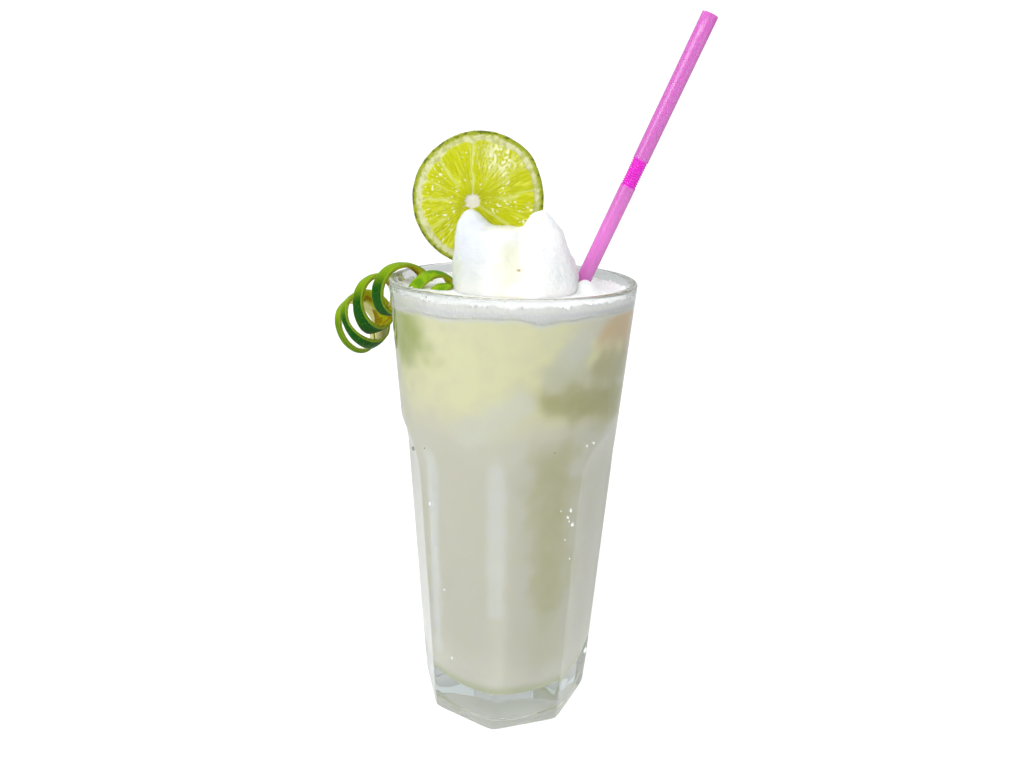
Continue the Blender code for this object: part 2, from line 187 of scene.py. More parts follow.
def ring(radius: Value, angles: Array, height: Value) -> Array:
    """Points round the glass's axis."""
    rise = np.zeros_like(angles) + height
    return np.stack([radius * np.cos(angles), radius * np.sin(angles), rise], axis=1)


def on_axis(height: float) -> Array:
    """The one point on the glass's axis that closes a skin."""
    return np.array([[0.0, 0.0, height]])


def split(points: Array, count: int) -> list[Array]:
    """Cuts a long array of points back into its rings."""
    return [points[k:k + count] for k in range(0, len(points), count)]


def bring_in(name: str, data: bpy.types.ID) -> Piece:
    """Makes an object of a mesh, light or camera and links it to the scene.

    Args:
        name: Name of the object.
        data: What it shows.

    Returns:
        The object.
    """
    thing = bpy.data.objects.new(name, data)
    bpy.context.scene.collection.objects.link(thing)
    return thing


def loft(name: str, rings: Sequence[Array], loop: bool = False) -> Piece:
    """Joins rings of points into one closed skin.

    Args:
        name: Name of the new piece.
        rings: Rows of points in millimetres, all of one count, or single points at the poles.
        loop: Whether the last ring joins the first.

    Returns:
        The piece, smooth shaded, with its faces looking out.
    """
    starts = np.concatenate([[0], np.cumsum([len(row) for row in rings])])
    pairs = [(k, k + 1) for k in range(len(rings) - 1)] + ([(len(rings) - 1, 0)] if loop else [])
    faces = []
    for lower, upper in pairs:
        a, b, n, m = int(starts[lower]), int(starts[upper]), len(rings[lower]), len(rings[upper])
        for k in range(max(n, m)):
            corners = (a + k % n, a + (k + 1) % n, b + (k + 1) % m, b + k % m)
            faces.append(tuple(dict.fromkeys(corners)))
    mesh = bpy.data.meshes.new(name)
    mesh.from_pydata((np.vstack(rings) * MM).tolist(), [], faces)
    if signed_volume(mesh) < 0.0:
        mesh.flip_normals()
    mesh.shade_smooth()
    return bring_in(name, mesh)


def signed_volume(mesh: bpy.types.Mesh) -> float:
    """Measures a closed mesh.

    Args:
        mesh: The mesh.

    Returns:
        Six times its volume, negative where its faces look in.
    """
    mesh.calc_loop_triangles()
    points = np.empty(len(mesh.vertices) * 3)
    mesh.vertices.foreach_get("co", points)
    corners = np.empty(len(mesh.loop_triangles) * 3, int)
    mesh.loop_triangles.foreach_get("vertices", corners)
    a, b, c = points.reshape(-1, 3)[corners.reshape(-1, 3)].transpose(1, 0, 2)
    return float(np.einsum("ij,ij->i", a, np.cross(b, c)).sum())


def scatter(name: str, places: Array, sizes: Array, squash: Array, detail: int) -> Piece:
    """Many small round blobs as one mesh.

    Args:
        name: Name of the new piece.
        places: Middle of each blob in millimetres.
        sizes: Radius of each blob in millimetres.
        squash: For each blob, three factors on that radius along X, Y and Z.
        detail: How often the starting icosahedron is divided.

    Returns:
        The piece, smooth shaded.
    """
    work = bmesh.new()
    bmesh.ops.create_icosphere(work, subdivisions=detail, radius=1.0)
    ball = np.array([v.co[:] for v in work.verts])
    corners = np.array([[v.index for v in f.verts] for f in work.faces])
    work.free()
    points = places[:, None, :] + ball[None] * (sizes[:, None] * squash)[:, None, :]
    faces = corners[None] + (np.arange(len(places)) * len(ball))[:, None, None]
    mesh = bpy.data.meshes.new(name)
    mesh.from_pydata((points.reshape(-1, 3) * MM).tolist(), [], faces.reshape(-1, 3).tolist())
    mesh.shade_smooth()
    return bring_in(name, mesh)


def push(points: Array, directions: Array, distances: Array) -> Array:
    """Moves points, each along its own direction.

    Args:
        points: The points.
        directions: Their directions, of any length.
        distances: How far each one goes.

    Returns:
        The moved points.
    """
    return points + directions / np.linalg.norm(directions, axis=1)[:, None] * distances[:, None]


def paint(piece: Piece, **layers: Array) -> None:
    """Stores layers of numbers on a piece, for its material to read.

    Args:
        piece: The piece.
        layers: For each layer's name, one number for each point.
    """
    for name, values in layers.items():
        layer = piece.data.attributes.new(name, "FLOAT", "POINT")
        layer.data.foreach_set("value", np.asarray(values, np.float32))


def settle(piece: Piece, slot: Slot, material: Material, *nodes: str) -> None:
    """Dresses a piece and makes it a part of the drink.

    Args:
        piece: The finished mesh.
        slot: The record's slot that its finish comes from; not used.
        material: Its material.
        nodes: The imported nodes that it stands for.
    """
    piece.data.materials.append(material)
    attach(piece, BODY)
    if nodes:
        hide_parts(*nodes)
    LOG.info("%s: %d faces", piece.name, len(piece.data.polygons))


def add_node(tree: Tree, kind: str, inputs: Optional[dict] = None, **settings: object) -> bpy.types.Node:
    """Adds a node with its settings and links.

    Args:
        tree: The material's or world's node tree.
        kind: Blender's name of the node, without the leading Shader word.
        inputs: For each socket, by name or number, a value or the output that feeds it.
        settings: The node's own properties.

    Returns:
        The new node.
    """
    node = tree.nodes.new("ShaderNode" + kind)
    for key, value in settings.items():
        setattr(node, key, value)
    for key, value in (inputs or {}).items():
        if isinstance(value, Socket):
            tree.links.new(value, node.inputs[key])
        else:
            node.inputs[key].default_value = value
    return node


def undimmed(tree: Tree, ray: str) -> Socket:
    """Tells rays of one kind apart.

    Args:
        tree: The material's or world's node tree.
        ray: The light path's output for that kind.

    Returns:
        The socket that is 1 on such rays before they have met a matt surface, else 0.
    """
    path = add_node(tree, "LightPath").outputs
    inputs = {0: path["Diffuse Depth"], 1: path[ray]}
    return add_node(tree, "Math", inputs, operation="LESS_THAN").outputs["Value"]


@dataclass(frozen=True)
class Mask:
    """Where a coat of colour shows, from 0 to 1.

    The source is the name of a painted layer, the width of soft swells in millimetres, or a socket.
    With edges, the mask rises smoothly from 0 at the first to 1 at the second.
    """

    source: Union[str, float, Socket]
    edges: tuple[float, ...] = ()
    detail: float = 2.0
    share: Union[float, Socket] = 1.0

    def read(self, tree: Tree) -> Socket:
        """Adds the nodes that the mask needs.

        Args:
            tree: The material's node tree.

        Returns:
            The socket that gives the mask.
        """
        value = self.source
        if isinstance(value, str):
            value = add_node(tree, "Attribute", attribute_name=value).outputs["Fac"]
        elif isinstance(value, float):
            place = add_node(tree, "TexCoord").outputs["Object"]
            inputs = {"Vector": place, "Scale": per_metre(value), "Detail": self.detail}
            value = add_node(tree, "TexNoise", inputs).outputs["Fac"]
        if self.edges:
            inputs = {"Value": value, "From Min": self.edges[0], "From Max": self.edges[1]}
            value = add_node(tree, "MapRange", inputs, interpolation_type="SMOOTHSTEP").outputs["Result"]
        if self.share != 1.0:
            value = add_node(tree, "Math", {0: value, 1: self.share}, operation="MULTIPLY").outputs["Value"]
        return value


@dataclass(frozen=True)
class Finish:
    """What every finish has: its colour, and how its surface and its body take light.

    Clear is the share of light that goes straight through and milky the share that wanders inside,
    down to a depth in millimetres that its tint shortens for red, green and blue. A water film lies
    over the surface.
    """

    name: str = "finish"
    colour: str = WHITE
    roughness: float = 0.5
    ior: float = 1.45
    gloss: float = 0.5
    clear: float = 0.0
    milky: float = 0.0
    milky_tint: Triple = (1.0, 1.0, 1.0)
    milky_depth: float = 1.0
    water_film: float = 0.0
    water_roughness: float = 0.03

    def start(self) -> tuple[Material, Tree, bpy.types.Node]:
        """Makes the material with its Principled shader.

        Returns:
            The material, its node tree and the shader.
        """
        material = bpy.data.materials.new(self.name)
        material.use_nodes = True
        shader = material.node_tree.nodes["Principled BSDF"]
        inputs = {
            "Base Color": linear(self.colour),
            "Roughness": self.roughness,
            "IOR": self.ior,
            "Specular IOR Level": self.gloss,
            "Transmission Weight": self.clear,
            "Subsurface Weight": self.milky,
            "Subsurface Radius": self.milky_tint,
            "Subsurface Scale": self.milky_depth * MM,
            "Coat Weight": self.water_film,
            "Coat Roughness": self.water_roughness,
        }
        for socket, value in inputs.items():
            shader.inputs[socket].default_value = value
        return material, material.node_tree, shader

    def lay(self, tree: Tree, base: Colour, *coats: tuple[Mask, Colour]) -> Socket:
        """Lays coats of colour over a base, each where its mask shows.

        Args:
            tree: The material's node tree.
            base: Hex colour or socket of what lies underneath.
            coats: Pairs of a mask and the hex colour or socket that it shows.

        Returns:
            The finished colour's socket.
        """
        for mask, tone in coats:
            below, above = (linear(c) if isinstance(c, str) else c for c in (base, tone))
            mix = add_node(tree, "Mix", {0: mask.read(tree), 6: below, 7: above}, data_type="RGBA")
            base = mix.outputs[2]
        return base

    def named(self, *layers: str) -> list[tuple[Mask, str]]:
        """Coats whose colours are named for the painted layers that they show on."""
        return [(Mask(layer), getattr(self, layer)) for layer in layers]

    def finish_off(self, tree: Tree, shader: bpy.types.Node, colour: Socket,
                   relief: Optional[Socket] = None, depth: float = 0.0) -> None:
        """Feeds the shader its colour and its relief.

        Args:
            tree: The material's node tree.
            shader: The Principled shader.
            colour: Socket of the finished colour.
            relief: Socket of the surface's height from 0 to 1, if it has a relief.
            depth: What a height of 1 stands for, in millimetres.
        """
        tree.links.new(colour, shader.inputs["Base Color"])
        if relief is not None:
            bump = add_node(tree, "Bump", {"Height": relief, "Distance": depth * MM, "Strength": 1.0})
            tree.links.new(bump.outputs["Normal"], shader.inputs["Normal"])

    def make(self) -> Material:
        """The finished material, of one colour where a finish lays no coats."""
        return self.start()[0]


@dataclass(frozen=True)
class PressedGlass(Finish):
    """Pressed soda-lime glass: clear and polished by fire, with the faint waves that the mould leaves,
    a grey-green tint where it is thick, and a greyer, milkier band near the lip."""

    name: str = "pressed soda-lime glass"
    # All but colourless at its surface, as the tint comes from the depth of glass behind it
    colour: str = "#FEFFFE"
    film: str = "#C6CDCE"
    depth_tint: str = "#E1E7E5"
    depth_density: float = 14.0
    roughness: float = 0.0
    ior: float = 1.52
    clear: float = 1.0
    wave_size: float = 16.0
    wave_depth: float = 0.05

    def make(self) -> Material:
        """Makes the material and lays its coats.

        Returns:
            The finished material.
        """
        material, tree, shader = self.start()
        colour = self.lay(tree, self.colour, *self.named("film"))
        self.finish_off(tree, shader, colour, Mask(self.wave_size, detail=1.0).read(tree), self.wave_depth)
        tint = {"Color": linear(self.depth_tint), "Density": self.depth_density}
        depth = add_node(tree, "VolumeAbsorption", tint)
        tree.links.new(depth.outputs["Volume"], tree.nodes["Material Output"].inputs["Volume"])
        return material


@dataclass(frozen=True)
class Water(Finish):
    """Drops of water and thin bubble walls: round and bright, and less clear where they are small. In the
    drops on the glass, the white that shows where they are less clear is a painted highlight for their
    glints.
    """

    name: str = "water"
    roughness: float = 0.0
    ior: float = 1.33
    clear: float = 1.0


@dataclass(frozen=True)
class Zest(Finish):
    """A speck of lime skin, dark and dull."""

    name: str = "speck of zest"
    colour: str = "#84867A"
    green: str = "#74806A"
    roughness: float = 0.7
    ior: float = 1.4
    mottle_size: float = 2.0

    def make(self) -> Material:
        """Makes the material and lays its coats.

        Returns:
            The finished material.
        """
        material, tree, shader = self.start()
        self.finish_off(tree, shader, self.lay(tree, self.colour, (Mask(self.mottle_size), self.green)))
        return material


@dataclass(frozen=True)
class BlendedLime(Finish):
    """Lime, ice and condensed milk from the blender: opaque and cream-coloured, yellower above, where
    it is rich, and greyer below, where melted ice has thinned it, with cloudy swells between. Its colour
    also holds painted shade on the floor's rounded corner and on the right, a painted lighter underside,
    a painted cast of the peel and painted highlights."""

    name: str = "blended lime drink"
    colour: str = "#F8F6CE"
    lower: str = "#E7E4D6"
    bottom: str = "#EFEDE1"
    # Painted light: lighter than the drink above it
    underside: str = "#F8F6EE"
    # Painted green cast of the peel's shade and reflection
    painted_peel_cast: str = "#BAC66C"
    amber: str = "#EDD2A6"
    # A dull green tone, also used as painted shade on the right
    moss_and_shade: str = "#C8C58E"
    haze: str = "#E4E3CB"
    cloud: str = "#EDEDE1"
    # Painted shade
    painted_shade: str = "#E4E2CA"
    # Painted highlight
    painted_sheen: str = "#F2F6F8"
    # Painted shade on the rounded corner of the floor
    corner_shade: str = "#D6DAB8"
    foamy: str = "#FCFDF2"
    roughness: float = 0.6
    ior: float = 1.34
    gloss: float = 0.2
    milky: float = 0.5
    milky_tint: Triple = (1.0, 0.95, 0.7)
    milky_depth: float = 2.5
    cloud_size: float = 22.0
    cloud_lift: float = 14.0
    rich_above: float = 132.0
    rich_blend: float = 20.0
    bottom_from: Pair = (50.0, 25.0)
    corner_shade_from: Pair = (21.0, 15.0)
    underside_from: Pair = (12.6, 11.4)
    mottle_size: float = 7.0
    mottle_share: float = 0.25

    def make(self) -> Material:
        """Makes the material and lays its coats.

        Returns:
            The finished material.
        """
        material, tree, shader = self.start()
        place = add_node(tree, "TexCoord").outputs["Object"]
        height = add_node(tree, "SeparateXYZ", {"Vector": place}).outputs["Z"]
        lift = {0: Mask(self.cloud_size, detail=3.0).read(tree), 1: self.cloud_lift * MM, 2: height}
        swell = add_node(tree, "Math", lift, operation="MULTIPLY_ADD").outputs["Value"]
        rich = self.rich_above + 0.5 * (self.cloud_lift - self.rich_blend)
        colour = self.lay(
            tree, self.lower,
            (Mask(swell, in_metres(self.bottom_from)), self.bottom),
            (Mask(swell, in_metres((rich, rich + self.rich_blend))), self.colour),
            # Painted shade on the rounded corner of the floor
            (Mask(height, in_metres(self.corner_shade_from)), self.corner_shade),
            # Painted light: the underside made lighter than the drink above it
            (Mask(height, in_metres(self.underside_from)), self.underside),
            *self.named(*(patch.value for patch in Patch)),
            (Mask(self.mottle_size, (0.35, 0.75), 3.0, self.mottle_share), self.haze),
            *self.named("foamy"))
        self.finish_off(tree, shader, colour)
        return material


@dataclass(frozen=True)
class FineFoam(Finish):
    """Foam of fine bubbles: white, greyer in the band that lies against the glass, where the bubbles
    are seen side on and the drink shows between them. It holds painted shade on its right, a painted
    green reflection of the peel on its left, and a painted green tint near the lump that offsets the
    straw's pink bounce light."""

    name: str = "fine foam"
    fine: str = "#F3F4F8"
    dim_band: str = "#E3E4E7"
    gap: str = "#FBFBF6"
    edge: str = "#FAFBF2"
    mossy: str = "#EBEDE3"
    # Painted tint that offsets the straw's pink bounce light
    cool: str = "#F6FFF6"
    roughness: float = 0.45
    ior: float = 1.33
    milky: float = 0.9
    milky_depth: float = 2.0
    bubble: float = 1.3
    fine_bubble: float = 0.5
    relief: float = 0.35

    def make(self) -> Material:
        """Makes the material and lays its coats.

        Returns:
            The finished material.
        """
        material, tree, shader = self.start()
        place = add_node(tree, "TexCoord").outputs["Object"]
        scales = [{"Vector": place, "Scale": per_metre(size)} for size in (self.bubble, self.fine_bubble)]
        big, fine = (add_node(tree, "TexVoronoi", inputs).outputs["Distance"] for inputs in scales)
        ringed = self.lay(tree, self.colour, (Mask(big, (0.25, 0.6)), self.gap))
        band = self.lay(tree, self.fine, (Mask("dim"), self.dim_band))
        colour = self.lay(tree, self.colour, (Mask("wall"), ringed), (Mask("fine"), band),
                          *self.named("mossy", "cool", "edge"))
        heights = add_node(tree, "Math", {0: fine, 1: 0.5, 2: big}, operation="MULTIPLY_ADD").outputs["Value"]
        self.finish_off(tree, shader, colour, heights, -self.relief)
        return material


@dataclass(frozen=True)
class PackedSlush(Finish):
    """Slush of crushed ice and foam: bright white and grainy, with a film of water on its grains, and
    clearer in the groove, where melt has run and the drink's yellow shows through. Painted shade darkens
    its left side, its left peak in blue-grey, and its right side."""

    name: str = "packed slush"
    melt: str = "#F3F3DF"
    # Painted shade in blue-grey
    cold: str = "#DADEE9"
    # Painted shade on the left side
    wet: str = "#D8D9D1"
    mossy: str = "#D9DFC6"
    shade: str = "#E2E7DC"
    fleck: str = "#8A7A30"
    roughness: float = 0.4
    ior: float = 1.31
    milky: float = 0.8
    milky_tint: Triple = (0.8, 0.95, 1.0)
    milky_depth: float = 4.0
    water_film: float = 0.15
    water_roughness: float = 0.2
    grain: float = 0.9
    relief: float = 0.35

    def make(self) -> Material:
        """Makes the material and lays its coats.

        Returns:
            The finished material.
        """
        material, tree, shader = self.start()
        colour = self.lay(tree, self.colour, *self.named("melt", "wet", "cold", "mossy", "shade", "fleck"))
        self.finish_off(tree, shader, colour, Mask(self.grain, detail=4.0).read(tree), self.relief)
        return material


@dataclass(frozen=True)
class CutLime(Finish):
    """A freshly cut lime: juice sacs that glow yellow-green and carry a film of water that glints, with
    painted glints among them, pale skins between the segments, a dry whitish pith and a dark waxy rind at
    the edge."""

    name: str = "cut lime"
    juicy: str = "#C2C604"
    deep: str = "#A6AC00"
    pale: str = "#D0D23C"
    frost_and_glints: str = "#F4F2E0"
    skin: str = "#D2D67A"
    pith: str = "#D5D5AA"
    damp_pith: str = "#B9BD72"
    heart: str = "#E2DED0"
    under_rind: str = "#A4AC34"
    rind: str = "#929C2E"
    dark_rind: str = "#606A20"
    roughness: float = 0.25
    ior: float = 1.36
    gloss: float = 0.12
    milky: float = 0.55
    milky_tint: Triple = (1.0, 1.0, 0.25)
    milky_depth: float = 2.0
    water_film: float = 0.08
    water_roughness: float = 0.06
    damp_size: float = 2.4
    dark_size: float = 2.2
    fibre: float = 0.55
    relief: float = 0.16

    def make(self) -> Material:
        """Makes the material and lays its coats.

        Returns:
            The finished material.
        """
        material, tree, shader = self.start()
        pith = self.lay(tree, self.pith, (Mask(self.damp_size, (0.4, 0.62), 3.0), self.damp_pith))
        rind = self.lay(tree, self.rind, (Mask(self.dark_size, (0.46, 0.6), 3.0), self.dark_rind))
        colour = self.lay(
            tree, self.deep,
            (Mask("sac"), self.pale),
            *self.named("juicy", "frost_and_glints", "skin"),
            (Mask("pith"), pith),
            *self.named("heart"),
            (Mask("rind", (0.05, 0.45)), self.under_rind),
            (Mask("rind", (0.45, 0.8)), rind))
        self.finish_off(tree, shader, colour, Mask(self.fibre, detail=3.0).read(tree), self.relief)
        return material


@dataclass(frozen=True)
class ShavedPeel(Finish):
    """A strip of lime peel cut with a channel knife: a waxy skin pitted with oil glands, dark green
    with painted light on the top of each turn, a yellow-green cut edge, and dry pith inside with brown
    bruises."""

    name: str = "shaved lime peel"
    colour: str = "#0A4A06"
    lit: str = "#7C9E06"
    young: str = "#86AA0E"
    young_green: str = "#5E8E08"
    rim: str = "#8AA32A"
    pith: str = "#B2B612"
    pale: str = "#DEDBA6"
    bruise: str = "#8E7A0A"
    speck: str = "#2A330C"
    roughness: float = 0.45
    pith_roughness: float = 0.75
    ior: float = 1.45
    gloss: float = 0.08
    milky: float = 0.12
    milky_tint: Triple = (0.8, 1.0, 0.2)
    milky_depth: float = 0.8
    gland: float = 0.75
    unripe_size: float = 4.0
    speck_size: float = 1.6
    bruise_size: float = 4.5
    relief: float = 0.16

    def make(self) -> Material:
        """Makes the material and lays its coats.

        Returns:
            The finished material.
        """
        material, tree, shader = self.start()
        place = add_node(tree, "TexCoord").outputs["Object"]
        inputs = {"Vector": place, "Scale": per_metre(self.gland)}
        glands = add_node(tree, "TexVoronoi", inputs).outputs["Distance"]
        young = self.lay(tree, self.young, (Mask(self.unripe_size, (0.4, 0.6), 3.0), self.young_green))
        skin = self.lay(
            tree, self.colour,
            *self.named("lit"),
            (Mask("young"), young),
            (Mask(glands, (0.4, 0.05), share=0.3), self.lit),
            *self.named("rim"),
            (Mask(self.speck_size, (0.76, 0.8), 1.0), self.speck))
        bruised = Mask(self.bruise_size, (0.44, 0.58), 4.0, Mask("bruised").read(tree))
        inner = self.lay(tree, self.pith, *self.named("pale"), (bruised, self.bruise))
        depth = Mask("depth").read(tree)
        colour = self.lay(tree, skin, (Mask(depth, (0.08, 0.3)), self.rim), (Mask(depth, (0.3, 0.75)), inner))
        self.finish_off(tree, shader, colour, glands, self.relief)
        dulling = {"Value": depth, "From Max": 0.6, "To Min": self.roughness, "To Max": self.pith_roughness}
        rough = add_node(tree, "MapRange", dulling)
        tree.links.new(rough.outputs["Result"], shader.inputs["Roughness"])
        return material


@dataclass(frozen=True)
class DyedStraw(Finish):
    """Extruded polypropylene dyed orchid pink: thin enough to let light through, deeper in colour in
    the bellows, where its wall is folded and doubled."""

    name: str = "dyed polypropylene"
    colour: str = "#D872C6"
    folded: str = "#F430D4"
    foot: str = "#EE80D6"
    foot_from: Pair = (215.0, 185.0)
    roughness: float = 0.18
    ior: float = 1.49
    clear: float = 0.1
    milky: float = 0.5
    milky_tint: Triple = (1.0, 0.4, 0.9)
    milky_depth: float = 1.5
    streak: float = 9.0
    relief: float = 0.03

    def make(self) -> Material:
        """Makes the material and lays its coats.

        Returns:
            The finished material.
        """
        material, tree, shader = self.start()
        place = add_node(tree, "TexCoord").outputs["Object"]
        height = add_node(tree, "SeparateXYZ", {"Vector": place}).outputs["Z"]
        foot = Mask(height, in_metres(self.foot_from))
        colour = self.lay(tree, self.colour, (foot, self.foot), *self.named("folded"))
        self.finish_off(tree, shader, colour, Mask(self.streak, detail=1.0).read(tree), self.relief)
        return material


@dataclass(frozen=True)
class LightTable(Finish):
    """Opal acrylic of a light table: matt, white and lit from behind."""

    name: str = "opal acrylic sweep"
    colour: str = "#9C9E9E"
    paler: str = "#A0A2A2"
    roughness: float = 0.9
    gloss: float = 0.1
    glow: float = 0.8
    mirrored_glow: float = 0.3
    mirrored_from: Pair = (-260.0, 420.0)
    grain: float = 3.0

    def make(self) -> Material:
        """Makes the material and lays its coats.

        Returns:
            The finished material.
        """
        material, tree, shader = self.start()
        self.finish_off(tree, shader, self.lay(tree, self.colour, (Mask(self.grain), self.paler)))
        shader.inputs["Emission Color"].default_value = linear(WHITE)
        # Dimmer towards the back in the glass's own reflections, as a dark room would leave it
        place = add_node(tree, "TexCoord").outputs["Object"]
        away = add_node(tree, "SeparateXYZ", {"Vector": place}).outputs["Y"]
        back = Mask(away, in_metres(self.mirrored_from)).read(tree)
        mirrored = Mask(undimmed(tree, "Is Glossy Ray"), share=back).read(tree)
        levels = {"Value": mirrored, "To Min": self.glow, "To Max": self.mirrored_glow}
        glow = add_node(tree, "MapRange", levels)
        tree.links.new(glow.outputs["Result"], shader.inputs["Emission Strength"])
        return material


@dataclass
class Glass:
    """The tall glass: a round collar over eight flat facets, a thick base and a rounded lip."""

    height: float = 175.0
    rim_radius: float = 45.5
    collar_slope: float = 0.069
    ridge_radius_at_base: float = 34.9
    ridge_slope: float = 0.0571
    facets: int = 8
    front_ridge_angle: float = math.radians(-96.8)
    arch_start: float = 106.0
    arch_curve: float = 0.01124
    ridge_rounding: float = 0.6
    heel_ridge_rounding: float = 1.6
    collar_blend: Pair = (100.0, 112.0)
    heel_top: float = 14.0
    foot_rounding: float = 1.2
    lip_wall: float = 2.8
    lip_rounding: float = 1.3
    collar_wall: float = 2.9
    cavity_radius_at_base: float = 28.55
    cavity_slope: float = 0.0577
    wall_blend: Pair = (98.0, 132.0)
    floor_thickness: float = 11.0
    floor_rounding: float = 13.5
    arch_rows: Pair = (98.0, 131.0)
    steps_per_facet: int = 40
    ridge_crowding: float = 1.7
    recess_depth: float = 0.8
    recess_radius: Pair = (22.5, 24.5)
    flat_radii: Pair = (12.0, 30.5)
    film_front: float = 173.3
    film_back: float = 170.9
    film_share: float = 0.4
    film_share_back: float = 0.3
    washed_off: float = 0.3
    washed_from: Pair = (-14.0, 0.0)
    washed_until: Pair = (38.0, 30.0)
    back_from: Pair = (-6.0, 6.0)
    back_film_from: Pair = (8.0, 24.0)
    finish: PressedGlass = PressedGlass()

    @property
    def half_facet(self) -> float:
        """Half the angle of one facet."""
        return math.pi / self.facets

    def around(self) -> tuple[Array, Array]:
        """The angles of a ring, closer together beside the ridges.

        Returns:
            The angles round the axis, and each one's angle off its facet's middle.
        """
        even = np.linspace(-1.0, 1.0, self.steps_per_facet, endpoint=False)
        off = np.sign(even) * (1.0 - (1.0 - np.abs(even)) ** self.ridge_crowding) * self.half_facet
        middles = self.front_ridge_angle + self.half_facet * (2 * np.arange(self.facets) + 1)
        return (middles[:, None] + off[None]).ravel(), np.tile(off, self.facets)

    def collar_radius(self, z: Value) -> Value:
        """Outside radius of the round collar's cone."""
        return self.rim_radius - self.collar_slope * (self.height - z)

    def outside_radius(self, off: Array, z: float) -> Array:
        """Radius of the outside: the collar or the facet, whichever is nearer to the axis.

        Args:
            off: Angle off the facet's middle.
            z: Height.

        Returns:
            The radius at each angle.
        """
        blend = smoothstep(*self.collar_blend, z)
        ridge = self.ridge_radius_at_base + self.ridge_slope * z
        round_part = self.collar_radius(z) * blend + ridge * (1.0 - blend)
        arch = self.arch_curve * max(z - self.arch_start, 0.0) ** 2
        flat_part = (ridge * math.cos(self.half_facet) + arch) / np.cos(off)
        heel = 1.0 - smoothstep(0.0, self.heel_top, z)
        width = self.ridge_rounding + (self.heel_ridge_rounding - self.ridge_rounding) * heel
        return soft_minimum(round_part, flat_part, width)

    def inside_radius(self, z: Value) -> Array:
        """Radius of the round cavity, without the rounding at its floor.

        Args:
            z: Height or heights.

        Returns:
            The radius at each height.
        """
        blend = smoothstep(*self.wall_blend, z)
        lower = self.cavity_radius_at_base + self.cavity_slope * np.asarray(z, float)
        return lower * (1.0 - blend) + (self.collar_radius(z) - self.collar_wall) * blend

    def cavity_profile(self, reach: float, top: float) -> list[Pair]:
        """Radius and height of the cavity from its floor upwards.

        Args:
            reach: How far the profile lies inside the wall and the floor.
            top: Height where it ends.

        Returns:
            Pairs of radius and height.
        """
        floor = self.floor_thickness - reach
        rounding = self.floor_rounding + reach
        flat = float(self.inside_radius(floor + rounding)) + reach - rounding
        turns = np.radians(np.linspace(0.0, 90.0, 19))
        profile = [(flat + rounding * math.sin(t), floor + rounding * (1.0 - math.cos(t))) for t in turns]
        lower = np.arange(floor + rounding + 2.0, self.wall_blend[0], 3.0)
        heights = np.concatenate([lower, np.arange(self.wall_blend[0], top, 1.5)])
        return profile + [(float(self.inside_radius(z)) + reach, z) for z in heights]

    def lip(self, angles: Array) -> list[Array]:
        """The rounded lip's rings, from the outside over the top to the inside.

        Args:
            angles: The angles of every ring.

        Returns:
            The rings.
        """
        inner = self.rim_radius - self.lip_wall + self.lip_rounding
        outer = self.rim_radius - self.lip_rounding
        bends = [(outer + self.lip_rounding * math.cos(t), t) for t in np.radians(np.linspace(15.0, 90.0, 6))]
        bends += [(inner - self.lip_rounding * math.cos(t), t) for t in np.radians(np.linspace(90.0, 0.0, 7))]
        top = self.height - self.lip_rounding
        return [ring(radius, angles, top + self.lip_rounding * math.sin(t)) for radius, t in bends]

    def film(self, points: Array) -> Array:
        """How much the glass is greyed near the lip, most at the lip's front left and less from the front's
        middle to its right.

        Args:
            points: Places on the glass.

        Returns:
            A share for each point.
        """
        x, y, z = points.T
        behind = smoothstep(*self.back_from, y)
        start = self.film_front + (self.film_back - self.film_front) * behind
        washed = smoothstep(*self.washed_from, x) * smoothstep(*self.washed_until, x)
        share = (self.film_share - self.washed_off * washed) * (1.0 - behind)
        share = share + self.film_share_back * behind * smoothstep(*self.back_film_from, x)
        return share * smoothstep(0.0, 0.7, z - start)

    def build(self) -> None:
        """Makes the glass from the middle of its underside round the lip to the middle of its floor."""
        angles, off = self.around()
        rings = [on_axis(self.recess_depth)]
        inner, outer = self.flat_radii
        for radius in np.concatenate([[inner], np.linspace(*self.recess_radius, 6), [outer]]):
            lift = self.recess_depth * (1.0 - smoothstep(*self.recess_radius, radius))
            rings.append(ring(radius, angles, float(lift)))
        for turn in np.radians(np.linspace(0.0, 90.0, 9)):
            z = self.foot_rounding * (1.0 - math.cos(turn))
            inset = self.foot_rounding * (1.0 - math.sin(turn))
            rings.append(ring(self.outside_radius(off, z) - inset, angles, z))
        top = self.height - self.lip_rounding
        low, high = self.arch_rows
        heights = [np.arange(2.0, self.heel_top, 1.0), np.arange(self.heel_top, low, 3.0)]
        heights += [np.arange(low, high, 0.6), np.arange(high + 1.0, top, 4.0), [top]]
        rings += [ring(self.outside_radius(off, z), angles, z) for z in np.concatenate(heights)]
        rings += self.lip(angles)
        rings += [ring(radius, angles, z) for radius, z in reversed(self.cavity_profile(0.0, top - 1.0))]
        rings.append(on_axis(self.floor_thickness))
        piece = loft("faceted_glass", rings)
        paint(piece, film=self.film(np.vstack(rings)))
        settle(piece, Slot.GLASS, self.finish.make(), "glass")


